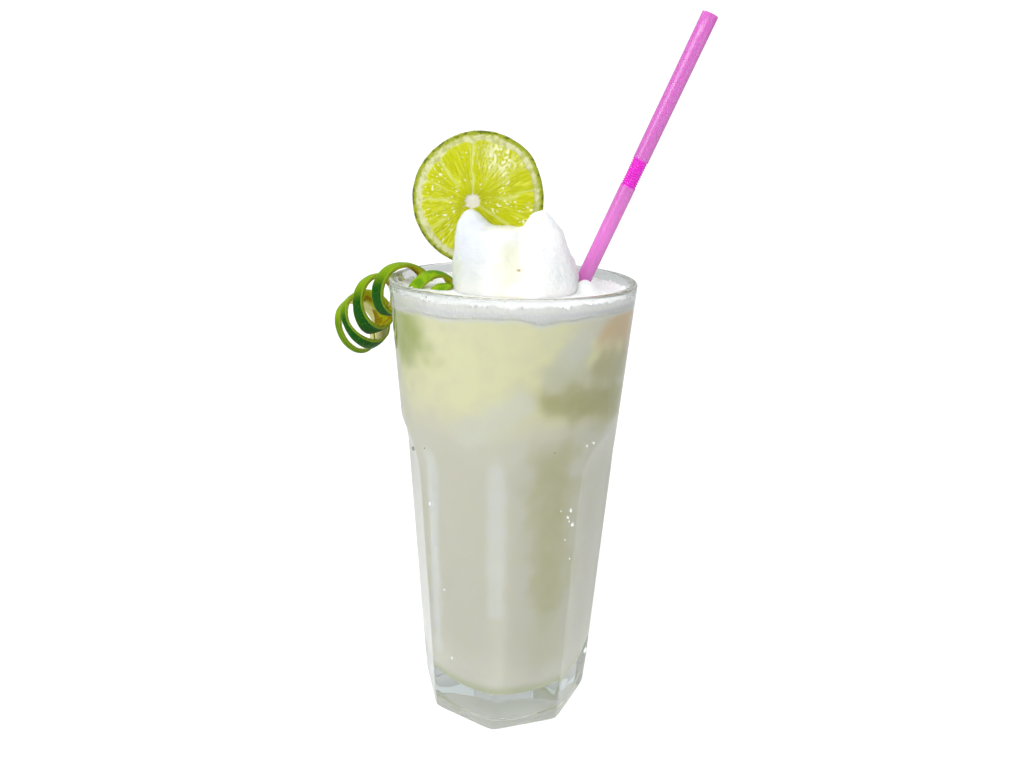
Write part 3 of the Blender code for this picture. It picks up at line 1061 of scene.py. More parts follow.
@dataclass
class Froth:
    """The foam on the drink, with its wavy lower edge, its film up the glass and its loose bubbles."""

    glass: Glass
    top: float = 170.4
    bottom_front: float = 168.2
    bottom_side: float = 166.0
    bottom_right: float = 167.5
    wavy_edge: tuple[Triple, ...] = ((0.3, 7.0, 0.0), (0.2, 13.0, 1.0), (0.12, 31.0, 0.5), (0.1, 47.0, 0.0))
    drip: float = 2.0
    drip_angle: float = math.radians(-78.0)
    drip_spread: float = math.radians(5.6)
    film_front: float = 172.1
    film_back: float = 171.2
    film_width: float = 1.3
    bubble_height: float = 0.35
    lump_place: Pair = (26.6, 0.5)
    lump_radius: float = 4.4
    lump_height: float = 4.2
    fine_below: Pair = (169.2, 171.0)
    edge_blend: Pair = (-0.2, 1.6)
    dim_from: Pair = (8.0, 36.0)
    peel_reflection_from: Pair = (-24.0, -37.0)
    cool_reach: float = 14.0
    ring_spacing: float = 0.5
    loose_bubbles: int = 460
    bubble_seed: int = 11
    bubble_sizes: Pair = (0.16, 0.7)
    clinging_share: float = 0.4
    finish: FineFoam = FineFoam()
    beads: Water = Water(name="foam beads", clear=0.2)

    def bottom(self, angles: Array) -> Array:
        """Height where the foam meets the drink at the glass, lower at the sides and in a drip.

        Args:
            angles: Directions from the axis.

        Returns:
            The height in each direction.
        """
        side = np.where(np.cos(angles) < 0.0, self.bottom_side, self.bottom_right)
        edge = self.bottom_front + (side - self.bottom_front) * np.abs(np.cos(angles)) ** 1.5
        drip = self.drip * bell(turn_difference(angles, self.drip_angle), self.drip_spread)
        return edge + ripple(angles, self.wavy_edge) - drip

    def from_lump(self, points: Array) -> Array:
        """Each point's distance across from the lump beside the straw."""
        return np.hypot(points[:, 0] - self.lump_place[0], points[:, 1] - self.lump_place[1])

    def surface(self, angles: Array, radius: float) -> Array:
        """Height of the foam's surface on a ring, with its ragged film up the glass.

        Args:
            angles: Directions from the axis.
            radius: The ring's radius.

        Returns:
            The height in each direction.
        """
        wall = float(self.glass.inside_radius(self.top))
        front = 0.5 - 0.5 * np.sin(angles)
        film = self.film_back + (self.film_front - self.film_back) * smoothstep(0.45, 0.9, front) - self.top
        ragged = 1.0 + 0.4 * np.sin(23.0 * angles) * np.sin(5.0 * angles + 1.0) + 0.15 * np.sin(61.0 * angles)
        rise = film * ragged * bell(wall - radius, self.film_width)
        lump = self.lump_height * bell(self.from_lump(ring(radius, angles, 0.0)), self.lump_radius)
        return self.top + rise + lump

    def roughen(self, top: Array) -> Array:
        """Raises the foam's bubbles, larger towards the glass.

        Args:
            top: Points of the surface.

        Returns:
            How far to raise each one.
        """
        outer = float(self.glass.inside_radius(self.top))
        near_wall = smoothstep(outer - 12.0, outer - 1.0, np.hypot(top[:, 0], top[:, 1]))
        big, fine = bubble_domes(top, 2.0, 1.0), bubble_domes(top, 0.9, 2.0)
        return (big * (0.18 + 0.4 * near_wall) + fine * 0.14 + self.bubble_height * waves(top, 4.0)) * 0.9

    def build(self) -> None:
        """Makes the foam, from the middle of its underside to the middle of its top."""
        angles, _ = self.glass.around()
        under = self.bottom(angles)
        wall = self.glass.inside_radius(under) + REACH_INTO_WALL
        low = self.bottom_side - 2.0
        rings = [on_axis(low), ring(wall * 0.5, angles, low), ring(wall - 1.2, angles, low)]
        rings.append(ring(wall - 0.4, angles, under - 0.3))
        outer = float(self.glass.inside_radius(self.top))
        crest = self.surface(angles, outer)
        for part in np.concatenate([[0.0, 0.012], np.linspace(0.04, 1.0, 13)]):
            z = under + (crest - under) * part
            rings.append(ring(self.glass.inside_radius(z) + REACH_INTO_WALL, angles, z))
        top = np.vstack([ring(radius, angles, self.surface(angles, radius))
                         for radius in np.arange(outer - 0.15, 1.0, -self.ring_spacing)])
        top[:, 2] += self.roughen(top)
        rings += split(top, len(angles)) + [on_axis(self.top)]
        piece = loft("froth_layer", rings)
        self.stain(piece, np.vstack(rings), np.concatenate([[0.0], np.tile(under, len(rings) - 2), [0.0]]))
        settle(piece, Slot.FROTH, self.finish.make(), "froth")

    def stain(self, piece: Piece, points: Array, level: Array) -> None:
        """Paints where the foam lies against the glass and where it is fine, with painted shade on its right,
        a painted green reflection of the peel on its left and a painted tint that offsets the straw's pink
        bounce light.

        Args:
            piece: The foam.
            points: Its points in millimetres.
            level: Height of the foam's lower edge in each point's direction.
        """
        x, y, z = points.T
        at_wall = smoothstep(-0.4, 0.05, np.hypot(x, y) - self.glass.inside_radius(z))
        paint(
            piece,
            wall=at_wall,
            fine=at_wall * (1.0 - smoothstep(*self.fine_below, z)),
            edge=at_wall * (1.0 - smoothstep(*self.edge_blend, z - level)),
            # Painted shade: the foam dimmer on its right
            dim=smoothstep(*self.dim_from, x),
            # Painted reflection: the peel's green on the foam against the glass at the left
            mossy=at_wall * smoothstep(*self.peel_reflection_from, x),
            # Painted tint: greener near the lump, offsetting the straw's pink bounce light
            cool=(1.0 - at_wall) * bell(self.from_lump(points), self.cool_reach))

    def blow_bubbles(self) -> None:
        """Makes the larger bubbles that crowd along the glass and cling to it above the foam."""
        count = self.loose_bubbles
        draw = np.random.default_rng(self.bubble_seed)
        turn = draw.uniform(0.0, math.tau, count)
        size = np.clip(draw.lognormal(-1.15, 0.4, count), *self.bubble_sizes)
        clinging = draw.random(count) < self.clinging_share
        in_front = smoothstep(0.5, 0.75, 0.5 - 0.5 * np.sin(turn))
        inwards = np.where(clinging, size * 0.35, draw.gamma(1.3, 2.2, count) + size * 0.6)
        radius = self.glass.inside_radius(self.top) - inwards
        flat = np.array([self.surface(np.array([t]), float(r))[0] for t, r in zip(turn, radius)])
        climb = draw.random(count) ** 2 * (0.2 + 0.9 * in_front)
        height = np.where(clinging, flat + 0.2 + climb, flat + size * 0.15)
        places = ring(radius, turn, np.minimum(height, self.glass.height - 3.0))
        piece = scatter("froth_bubbles", places, size, np.ones((count, 3)), detail=2)
        settle(piece, Slot.FROTH, self.beads.make())


@dataclass(frozen=True)
class Streak:
    """A soft patch from one place on the drink's side to another, as angles in degrees and heights."""

    patch: Patch
    start: Pair
    end: Pair
    width: float
    strength: float = 1.0


@dataclass
class Lemonade:
    """The drink itself, from the glass's floor up to the foam."""

    glass: Glass
    froth: Froth
    froth_blend: float = 1.8
    under_foam: float = 0.3
    wall_radius: float = 40.0
    streaks: tuple[Streak, ...] = (
        # Painted cast of the peel's shade and reflection, at the top left
        Streak(Patch.PAINTED_PEEL_CAST, (-178.0, 165.0), (-150.0, 159.0), 19.0),
        Streak(Patch.CLOUD, (-50.0, 167.0), (-60.0, 156.0), 8.0, 0.8),
        # The lump's lower part: a haze tone, partly painted shade at its lower right
        Streak(Patch.HAZE, (-59.0, 155.0), (-71.0, 147.0), 8.0, 0.9),
        Streak(Patch.AMBER, (-42.0, 166.0), (0.0, 160.0), 15.0),
        Streak(Patch.AMBER, (-20.0, 158.0), (-4.0, 140.0), 11.0, 0.8),
        # Painted shade: greyer patches to the right, low on the right front facet and one on the left
        Streak(Patch.PAINTED_SHADE, (-60.0, 146.0), (-10.0, 142.0), 11.0, 0.9),
        Streak(Patch.PAINTED_SHADE, (-168.0, 147.0), (-157.0, 126.0), 9.0, 0.7),
        Streak(Patch.PAINTED_SHADE, (-64.0, 118.0), (-60.0, 34.0), 13.0, 0.75),
        Streak(Patch.MOSS_AND_SHADE, (-70.0, 141.0), (-12.0, 132.0), 11.0),
        Streak(Patch.MOSS_AND_SHADE, (-42.0, 150.0), (-8.0, 146.0), 9.0, 0.7),
        # Painted shade: the right front facet darker, as the light falls from the left
        Streak(Patch.MOSS_AND_SHADE, (-65.0, 115.0), (-60.0, 60.0), 14.0, 0.55),
        Streak(Patch.CLOUD, (-112.0, 127.0), (-84.0, 139.0), 8.0, 0.8),
        # Painted highlights: soft vertical reflections of the glass's ridges, laid into the drink
        Streak(Patch.PAINTED_SHEEN, (-138.0, 114.0), (-146.0, 30.0), 5.0, 0.6),
        Streak(Patch.PAINTED_SHEEN, (-96.0, 114.0), (-96.0, 55.0), 5.0, 0.4),
        Streak(Patch.HAZE, (20.0, 160.0), (60.0, 138.0), 12.0, 0.8),
        Streak(Patch.CLOUD, (75.0, 132.0), (120.0, 138.0), 10.0, 0.8),
        Streak(Patch.MOSS_AND_SHADE, (140.0, 142.0), (165.0, 134.0), 10.0, 0.7),
    )
    finish: BlendedLime = BlendedLime()

    def patches(self, points: Array, patch: Patch) -> Array:
        """How strongly one kind of patch shows at each point.

        Args:
            points: Places on the drink in millimetres.
            patch: The kind of patch.

        Returns:
            One number from 0 to 1 for each point.
        """
        turn = np.arctan2(points[:, 1], points[:, 0])
        ragged = 1.0 + 0.5 * waves(points, 9.0, 4.0) + 0.25 * waves(points, 4.0, 5.0)
        shown = np.zeros(len(points))
        for streak in (s for s in self.streaks if s.patch is patch):
            across = (turn - math.radians(streak.start[0]) + math.pi) % math.tau - math.pi
            u, v = across * self.wall_radius, points[:, 2] - streak.start[1]
            du = math.radians(streak.end[0] - streak.start[0]) * self.wall_radius
            dv = streak.end[1] - streak.start[1]
            part = np.clip((u * du + v * dv) / (du * du + dv * dv), 0.0, 1.0)
            far = np.hypot(u - part * du, v - part * dv) / (streak.width * ragged)
            shown = np.maximum(shown, streak.strength * (1.0 - smoothstep(0.25, 1.0, far)))
        return shown

    def build(self) -> None:
        """Makes the drink, reaching just into the glass so that no air shows between them."""
        angles, _ = self.glass.around()
        profile = self.glass.cavity_profile(REACH_INTO_WALL, self.froth.bottom_side - 3.5)
        rings = [on_axis(profile[0][1])] + [ring(radius, angles, z) for radius, z in profile]
        start, under = profile[-1][1], self.froth.bottom(angles)
        for part in np.append(np.linspace(0.125, 0.97, 8), 1.0):
            z = start + (under + self.under_foam - start) * part
            reach = REACH_INTO_WALL - 0.05 * smoothstep(-0.6, 0.0, z - under)
            rings.append(ring(self.glass.inside_radius(z) + reach, angles, z))
        inner = self.glass.inside_radius(under) - 1.0
        rings += [ring(inner, angles, under - 0.05), ring(inner * 0.5, angles, self.froth.bottom_side)]
        rings.append(on_axis(self.froth.bottom_side))
        piece = loft("blended_lemonade", rings)
        points = np.vstack(rings)
        for patch in Patch:
            paint(piece, **{patch.value: self.patches(points, patch)})
        level = np.concatenate([[0.0], np.tile(under, len(rings) - 2), [0.0]])
        paint(piece, foamy=smoothstep(-self.froth_blend, 0.2, points[:, 2] - level))
        settle(piece, Slot.LEMONADE, self.finish.make(), "lemonade")


@dataclass(frozen=True)
class Peak:
    """One rise of the mound: its place, height over the shoulder, spreads and sharpness."""

    x: float
    y: float
    rise: float
    spread_x: float
    spread_y: float
    sharpness: float


@dataclass(frozen=True)
class Hollow:
    """A hollow down the mound's side, or a bulge where its depth is below zero, by its direction."""

    side: float
    depth: float
    spread: float


@dataclass
class SlushMound:
    """The white heap of slush: two peaks, a valley between them and a groove down its front."""

    froth: Froth
    centre: Pair = (1.6, 1.0)
    half_width: float = 24.1
    front: float = 20.0
    back: float = 22.5
    shoulder: float = 22.4
    steep_right: float = 2.4
    steep_left: float = 13.0
    peaks: tuple[Peak, ...] = (
        Peak(-17.5, 1.0, 6.3, 7.4, 6.5, 2.9),
        Peak(11.9, 0.0, 6.2, 7.8, 8.0, 6.0),
        Peak(11.1, 0.0, 2.2, 2.6, 5.0, 2.0),
    )
    hollows: tuple[Hollow, ...] = (
        Hollow(math.radians(-4.0), 1.9, math.radians(20.0)),
        Hollow(math.radians(36.0), -3.0, math.radians(18.0)),
    )
    back_drop: float = 9.0
    groove_depth: float = 1.2
    groove_x: float = 0.5
    groove_width: float = 4.5
    lobes: tuple[Triple, ...] = ((0.5, 5.0, 0.6), (0.3, 9.0, 0.0))
    lumps: tuple[Triple, ...] = ((0.5, 7.0, 0.0), (0.32, 2.6, 3.0), (0.16, 1.1, 5.0))
    ice_height: float = 0.12
    ice_size: float = 1.5
    outward_rise: float = 0.6
    bare_foot: Pair = (-0.6, 4.0)
    cold_place: Pair = (-16.0, 22.0)
    cold_radius: float = 9.0
    mossy_place: Triple = (-19.2, -6.0, 8.7)
    mossy_radius: float = 3.2
    fleck: Pair = (1.9, 9.4)
    fleck_radius: float = 0.6
    sunk: float = 0.6
    columns: int = 300
    finish: PackedSlush = PackedSlush()

    def reach(self, angles: Array) -> Array:
        """Distance from the mound's centre to its foot.

        Args:
            angles: Directions from the centre.

        Returns:
            The distance in each direction.
        """
        depth = np.where(np.sin(angles) < 0.0, self.front, self.back)
        oval = self.half_width * depth / np.hypot(depth * np.cos(angles), self.half_width * np.sin(angles))
        hollows = sum(h.depth * bell(turn_difference(angles, h.side), h.spread) for h in self.hollows)
        return oval + ripple(angles, self.lobes) * np.abs(np.sin(angles)) - hollows

    def height(self, x: Array, y: Array) -> Array:
        """Height of the shoulders and peaks over the foot.

        Args:
            x: Places across.
            y: Places in depth.

        Returns:
            The height at each place.
        """
        height = np.full_like(x, self.shoulder)
        for peak in self.peaks:
            spread = peak.spread_x * (1.0 + 0.35 * smoothstep(-2.0, -9.0, y))
            away = np.hypot((x - peak.x) / spread, (y - peak.y) / peak.spread_y)
            height += peak.rise * np.exp(-(away ** peak.sharpness)) * (1.0 - 0.8 * smoothstep(-3.0, -11.0, y))
        return height - self.back_drop * smoothstep(12.0, 18.0, y)

    def row(self, angles: Array, part: float) -> Array:
        """A ring of the mound's surface.

        Args:
            angles: Directions from the centre.
            part: Where the ring lies, from 0 at the top to 1 at the foot.

        Returns:
            Its points.
        """
        reach = self.reach(angles) * part
        x = self.centre[0] + reach * np.cos(angles)
        y = self.centre[1] + reach * np.sin(angles)
        steep = self.steep_right + (self.steep_left - self.steep_right) * np.maximum(-np.cos(angles), 0.0)
        z = self.height(x, y) * np.sqrt(np.maximum(1.0 - part ** steep, 0.0))
        groove = self.groove_depth * bell(x - self.groove_x, self.groove_width) * smoothstep(0.4, 0.8, part)
        y = y + groove * np.maximum(-np.sin(angles), 0.0) * smoothstep(0.0, 4.0, z)
        return np.stack([x, y, self.froth.top + z], axis=1)

    def build(self) -> None:
        """Makes the mound with its lumps and icy grains, its foot sunk in the foam."""
        angles = np.linspace(0.0, math.tau, self.columns, endpoint=False)
        rises = np.cos(np.radians(np.linspace(0.0, 88.0, 56)))
        parts = np.concatenate([rises ** (2.0 / self.steep_left), rises ** (2.0 / self.steep_right)])
        rings = [self.row(angles, float(part)) for part in np.unique(np.round(parts, 4))[::-1]]
        foot = rings[0].copy()
        foot[:, :2] += np.stack([np.cos(angles), np.sin(angles)], axis=1) * 0.5
        foot[:, 2] -= self.sunk
        points = np.vstack([foot] + rings)
        outward = ring(1.0, np.tile(angles, len(rings) + 1), self.outward_rise)
        raise_by = swells(points, self.lumps) + self.ice_height * bubble_domes(points, self.ice_size, 6.0)
        points = push(points, outward, raise_by * smoothstep(*self.bare_foot, points[:, 2] - self.froth.top))
        rings = split(points, self.columns)
        floor, summit = rings[0].mean(axis=0)[None], rings[-1].mean(axis=0)[None]
        piece = loft("slush_heap", [floor] + rings + [summit])
        self.stain(piece, np.vstack([floor, points, summit]))
        settle(piece, Slot.SLUSH, self.finish.make(), "slush_mound")

    def stain(self, piece: Piece, points: Array) -> None:
        """Paints where melt has run, a green spot and a brown fleck, and painted shade: on the left side, in
        blue-grey on the left peak, and on the right.

        Args:
            piece: The mound.
            points: Its points in millimetres.
        """
        x, y, z = points.T
        z = z - self.froth.top
        facing = smoothstep(-4.0, -10.0, y)
        melt = smoothstep(-9.0, -6.5, x) * smoothstep(5.5, 3.0, x) * facing * smoothstep(22.0, 17.0, z)
        left_peak = np.hypot(x - self.cold_place[0], 0.7 * (z - self.cold_place[1]))
        spot_x, spot_y, spot_z = self.mossy_place
        spot = np.sqrt((x - spot_x) ** 2 + (y - spot_y) ** 2 + (z - spot_z) ** 2)
        fleck = bell(np.hypot(x - self.fleck[0], 1.4 * (z - self.fleck[1])), self.fleck_radius)
        paint(
            piece,
            melt=np.clip(melt * (0.8 + 0.5 * waves(points, 5.0, 8.0)), 0.0, 1.0),
            # Painted shade: blue-grey over the left peak
            cold=0.9 * bell(left_peak, self.cold_radius),
            mossy=0.8 * bell(spot, self.mossy_radius),
            # Painted shade: the left side darker
            wet=smoothstep(-2.0, -14.0, x) * 0.9,
            shade=smoothstep(20.0, 25.0, x) * smoothstep(24.0, 6.0, z) * 0.4,
            fleck=fleck * facing)


@dataclass(frozen=True)
class Membrane:
    """A skin between two segments: its direction, how strongly it shows and how far out it starts."""

    turn: float
    share: float
    start: float


@dataclass(frozen=True)
class Bulge:
    """A bulge of the wheel's edge, or a flat where it is below zero: its height, direction and spread."""

    out: float
    side: float
    spread: float


@dataclass
class LimeSlice:
    """The lime wheel that stands in the mound and faces the front."""

    centre: Triple = (-13.8, 11.2, 201.75)
    radius: float = 24.5
    thickness: float = 4.0
    rind_rounding: float = 0.7
    crown: float = 0.35
    turn: float = math.radians(2.0)
    heart: Pair = (-1.8, -0.5)
    heart_radius: float = 2.5
    pith_width: float = 1.6
    rind_width: float = 2.0
    skin_width: float = 0.34
    sac_length: float = 4.4
    sac_width: float = 1.0
    sac_relief: float = 0.3
    torn_place: Pair = (8.4, 15.8)
    torn_radius: float = 5.4
    streak_pack: float = 26.0
    streak_length: float = 5.0
    sac_row_radius: float = 13.0
    sac_tones: int = 4096
    sac_seed_front: int = 3
    sac_seed_back: int = 5
    pore_depth: float = 0.12
    edge_rows: int = 18
    columns: int = 480
    rows: int = 64
    membranes: tuple[Membrane, ...] = (
        Membrane(0.19, 0.8, 9.0),
        Membrane(0.62, 0.3, 12.0),
        Membrane(1.03, 0.5, 8.0),
        Membrane(1.62, 1.0, 0.0),
        Membrane(2.36, 0.8, 8.0),
        Membrane(2.80, 0.3, 11.0),
        Membrane(3.14, 1.0, 9.0),
        Membrane(3.75, 0.5, 12.0),
        Membrane(4.60, 0.6, 3.0),
        Membrane(5.75, 0.8, 3.0),
    )
    bulges: tuple[Bulge, ...] = (
        Bulge(0.5, math.radians(54.0), math.radians(26.0)),
        Bulge(0.5, math.radians(41.0), math.radians(11.0)),
        Bulge(-0.5, math.radians(124.0), math.radians(34.0)),
    )
    finish: CutLime = CutLime()

    def rim_distance(self, angles: Array) -> Array:
        """Distance from the heart to the rind.

        Args:
            angles: Directions from the heart.

        Returns:
            The distance in each direction.
        """
        hx, hz = self.heart
        along = hx * np.cos(angles) + hz * np.sin(angles)
        bulges = sum(b.out * bell(turn_difference(angles, b.side), b.spread) for b in self.bulges)
        return -along + np.sqrt(along ** 2 + self.radius ** 2 - hx ** 2 - hz ** 2) + bulges

    def sac_seeds(self, draw: np.random.Generator) -> kdtree.KDTree:
        """Places the juice sacs in rows round the heart, a little out of step with each other.

        Args:
            draw: Where the random draws come from.

        Returns:
            A search tree of the sacs, with each one also a full turn on either side.
        """
        per_row = int(math.tau * self.sac_row_radius / self.sac_width)
        seeds = []
        for row in range(int(self.radius / self.sac_length) + 2):
            for k in range(per_row):
                turn = (k + 0.5 * (row % 2) + draw.uniform(-0.35, 0.35)) * math.tau / per_row
                seeds.append((turn, (row + draw.uniform(-0.4, 0.4)) * self.sac_length))
        tree = kdtree.KDTree(len(seeds) * 3)
        laps = [(turn + lap, rho) for turn, rho in seeds for lap in (-math.tau, 0.0, math.tau)]
        for index, (turn, rho) in enumerate(laps):
            tree.insert(self.sac_space(turn, rho), index % len(seeds))
        tree.balance()
        return tree

    def sac_space(self, turn: float, rho: float) -> Triple:
        """A place among the juice sacs, in sac widths and lengths."""
        return turn * self.sac_row_radius / self.sac_width, rho / self.sac_length, 0.0

    def sacs(self, seed: int, turn: Array, rho: Array) -> tuple[Array, Array]:
        """How the juice sacs swell and differ.

        Args:
            seed: Seed of the sacs.
            turn: Directions from the heart.
            rho: Distances from the heart.

        Returns:
            For each point, its height on its sac, from 0 in the grooves to 1, and its sac's own tone.
        """
        draw = np.random.default_rng(seed)
        tree = self.sac_seeds(draw)
        tones = draw.random(self.sac_tones)
        near = [tree.find_n(self.sac_space(t, r), 2) for t, r in zip(turn.ravel(), rho.ravel())]
        gaps = np.array([found[1][2] - found[0][2] for found in near])
        tone = np.array([tones[found[0][1] % self.sac_tones] for found in near])
        return np.sqrt(smoothstep(0.0, 0.7, gaps)).reshape(turn.shape), tone.reshape(turn.shape)

    def skins(self, turn: Array, rho: Array) -> tuple[Array, Array]:
        """Finds the nearest skin between two segments.

        Args:
            turn: Directions from the heart.
            rho: Distances from the heart.

        Returns:
            For each point, the angle off that skin and how strongly the skin shows there.
        """
        turns, shares, starts = np.array([(m.turn, m.share, m.start) for m in self.membranes]).T
        gaps = turn_difference(turn[..., None], turns)
        nearest = np.argmin(gaps, axis=-1)
        start = starts[nearest]
        return np.min(gaps, axis=-1), shares[nearest] * smoothstep(start - 2.0, start + 2.0, rho)

    def face(self, side: Face, angles: Array, seed: int) -> tuple[list[Array], dict[str, Array]]:
        """Makes one cut face from the heart to the rind.

        Args:
            side: Which face.
            angles: Directions from the heart.
            seed: Seed of its juice sacs.

        Returns:
            Its rings of points in the wheel's own place, X across, Y deep and Z up, and its layers.
        """
        parts = np.concatenate([np.linspace(0.02, 0.86, self.rows - self.edge_rows),
                                np.linspace(0.87, 1.0, self.edge_rows)])
        turn, part = np.meshgrid(angles, parts)
        reach = self.rim_distance(turn) - self.rind_rounding
        rho = reach * part
        x = self.heart[0] + rho * np.cos(turn)
        z = self.heart[1] + rho * np.sin(turn)
        flat = np.stack([x.ravel(), z.ravel(), np.full(x.size, float(seed) * 9.0)], axis=1)
        to_edge = self.rim_distance(turn) - rho

        def noise_at(size: float, pattern: float) -> Array:
            """Smooth noise over the face, in its rows and columns."""
            return waves(flat, size, pattern).reshape(x.shape)

        wobble, fine_wobble, ragged = noise_at(4.0, 1.0), noise_at(1.2, 2.0), noise_at(0.9, 3.0)
        gap, share = self.skins(turn + 0.07 * wobble + 0.02 * fine_wobble, rho)
        from_skin = gap * rho
        star = self.heart_radius + 0.6 * bell(gap, 0.12) + 0.5 * wobble + 0.3 * fine_wobble
        in_heart = 1.0 - smoothstep(-0.3, 0.4, rho - star)
        pith_edge = self.rind_width + self.pith_width * (1.0 + 0.35 * wobble) + 0.9 * bell(from_skin, 0.8)
        in_pith = 1.0 - smoothstep(-0.25, 0.35, to_edge - pith_edge)
        on_skin = share * bell(from_skin, self.skin_width * (1.6 + 1.0 * wobble))
        juicy = (1.0 - in_heart) * (1.0 - in_pith) * (1.0 - on_skin)
        around = ring(self.streak_pack, turn.ravel(), rho.ravel() / self.streak_length + seed)
        streak = smoothstep(0.05, 0.45, waves(around, 1.0, 7.0)).reshape(x.shape)
        dome, tone = self.sacs(seed, turn, rho)
        torn = bell(np.hypot(x - self.torn_place[0], z - self.torn_place[1]), self.torn_radius)
        lift = self.crown * np.sqrt(juicy) + self.sac_relief * (dome - 0.6) * juicy
        lift += 0.25 * ragged * torn * juicy + 0.05 * fine_wobble
        lift -= 0.25 * in_heart * (0.5 + 0.5 * fine_wobble)
        depth = 0.5 * self.thickness + np.where(part >= 1.0, 0.0, lift * smoothstep(0.0, 0.5, to_edge - 0.7))
        rings = list(np.stack([x, side.value * depth, z], axis=-1))
        # Painted highlights: small white glints over the flesh, laid in with the frosted torn sacs
        glints = smoothstep(0.34, 0.46, noise_at(0.9, 6.0)) * smoothstep(-0.25, 0.2, wobble)
        frost_and_glints = np.maximum(torn * smoothstep(-0.25, 0.35, ragged + 0.6 * wobble), 0.8 * glints)
        layers = {
            "sac": np.clip(0.1 + 0.5 * tone + 0.2 * (1.0 - dome) + 0.7 * streak, 0.0, 1.0),
            "juicy": np.clip(0.3 + 0.4 * dome + 0.7 * noise_at(6.0, 5.0) - 0.6 * streak, 0.0, 1.0),
            "frost_and_glints": np.clip(frost_and_glints * juicy, 0.0, 1.0),
            "skin": np.clip(on_skin, 0.0, 1.0) * (1.0 - in_pith),
            "pith": in_pith,
            "heart": in_heart,
            "rind": 1.0 - smoothstep(0.0, self.rind_width * (1.2 + 0.5 * fine_wobble), to_edge),
        }
        return rings, layers

    def rind(self, angles: Array) -> Array:
        """Makes the wheel's edge with its pores, from the front face to the back face.

        Args:
            angles: Directions from the heart.

        Returns:
            Its points in the wheel's own place, ring by ring.
        """
        half, corner = 0.5 * self.thickness, self.rind_rounding
        rises = np.radians([20.0, 45.0, 70.0])
        bends = [(math.sin(t), -half + corner * (1.0 - math.cos(t))) for t in rises]
        bends += [(1.0, depth) for depth in np.linspace(-half + corner, half - corner, 7)]
        bends += [(math.sin(t), half - corner * (1.0 - math.cos(t))) for t in reversed(rises)]
        rings = []
        for out, depth in bends:
            rho = self.rim_distance(angles) - corner * (1.0 - out)
            rings.append(np.stack([self.heart[0] + rho * np.cos(angles), np.full_like(angles, depth),
                                   self.heart[1] + rho * np.sin(angles)], axis=1))
        points = np.vstack(rings)
        dimples = 0.10 * bubble_domes(points, 1.0, 4.0) + self.pore_depth * waves(points, 3.0, 7.0)
        return push(points, points * np.array([1.0, 0.0, 1.0]), dimples - self.pore_depth)

    def build(self) -> None:
        """Makes the wheel: the front face, the rind round its edge and the back face."""
        angles = np.linspace(0.0, math.tau, self.columns, endpoint=False)
        front, front_layers = self.face(Face.FRONT, angles, self.sac_seed_front)
        back, back_layers = self.face(Face.BACK, angles, self.sac_seed_back)
        edge = self.rind(angles)
        half = 0.5 * self.thickness
        tips = [np.array([[self.heart[0], side.value * half, self.heart[1]]]) for side in Face]
        local = [tips[0]] + front + split(edge, self.columns) + back[::-1] + [tips[1]]
        cos, sin = math.cos(self.turn), math.sin(self.turn)
        spin = np.array([[cos, 0.0, sin], [0.0, 1.0, 0.0], [-sin, 0.0, cos]])
        piece = loft("lime_wheel", [row @ spin.T + np.array(self.centre) for row in local])
        for name, values in front_layers.items():
            rim = np.full(len(edge), 1.0 if name == "rind" else 0.0)
            tip = [1.0 if name == "heart" else 0.0]
            flipped = back_layers[name][::-1]
            paint(piece, **{name: np.concatenate([tip, values.ravel(), rim, flipped.ravel(), tip])})
        settle(piece, Slot.FLESH, self.finish.make(), "lime_slice")


@dataclass(frozen=True)
class Coil:
    """The peel's coil at one full turn: place, radius, the way it faces and its dip in degrees."""

    x: float
    y: float
    z: float
    radius: float
    facing: float
    dip: float

    def row(self) -> Array:
        """Its values as one row."""
        return np.array([self.x, self.y, self.z, self.radius, self.facing, self.dip])


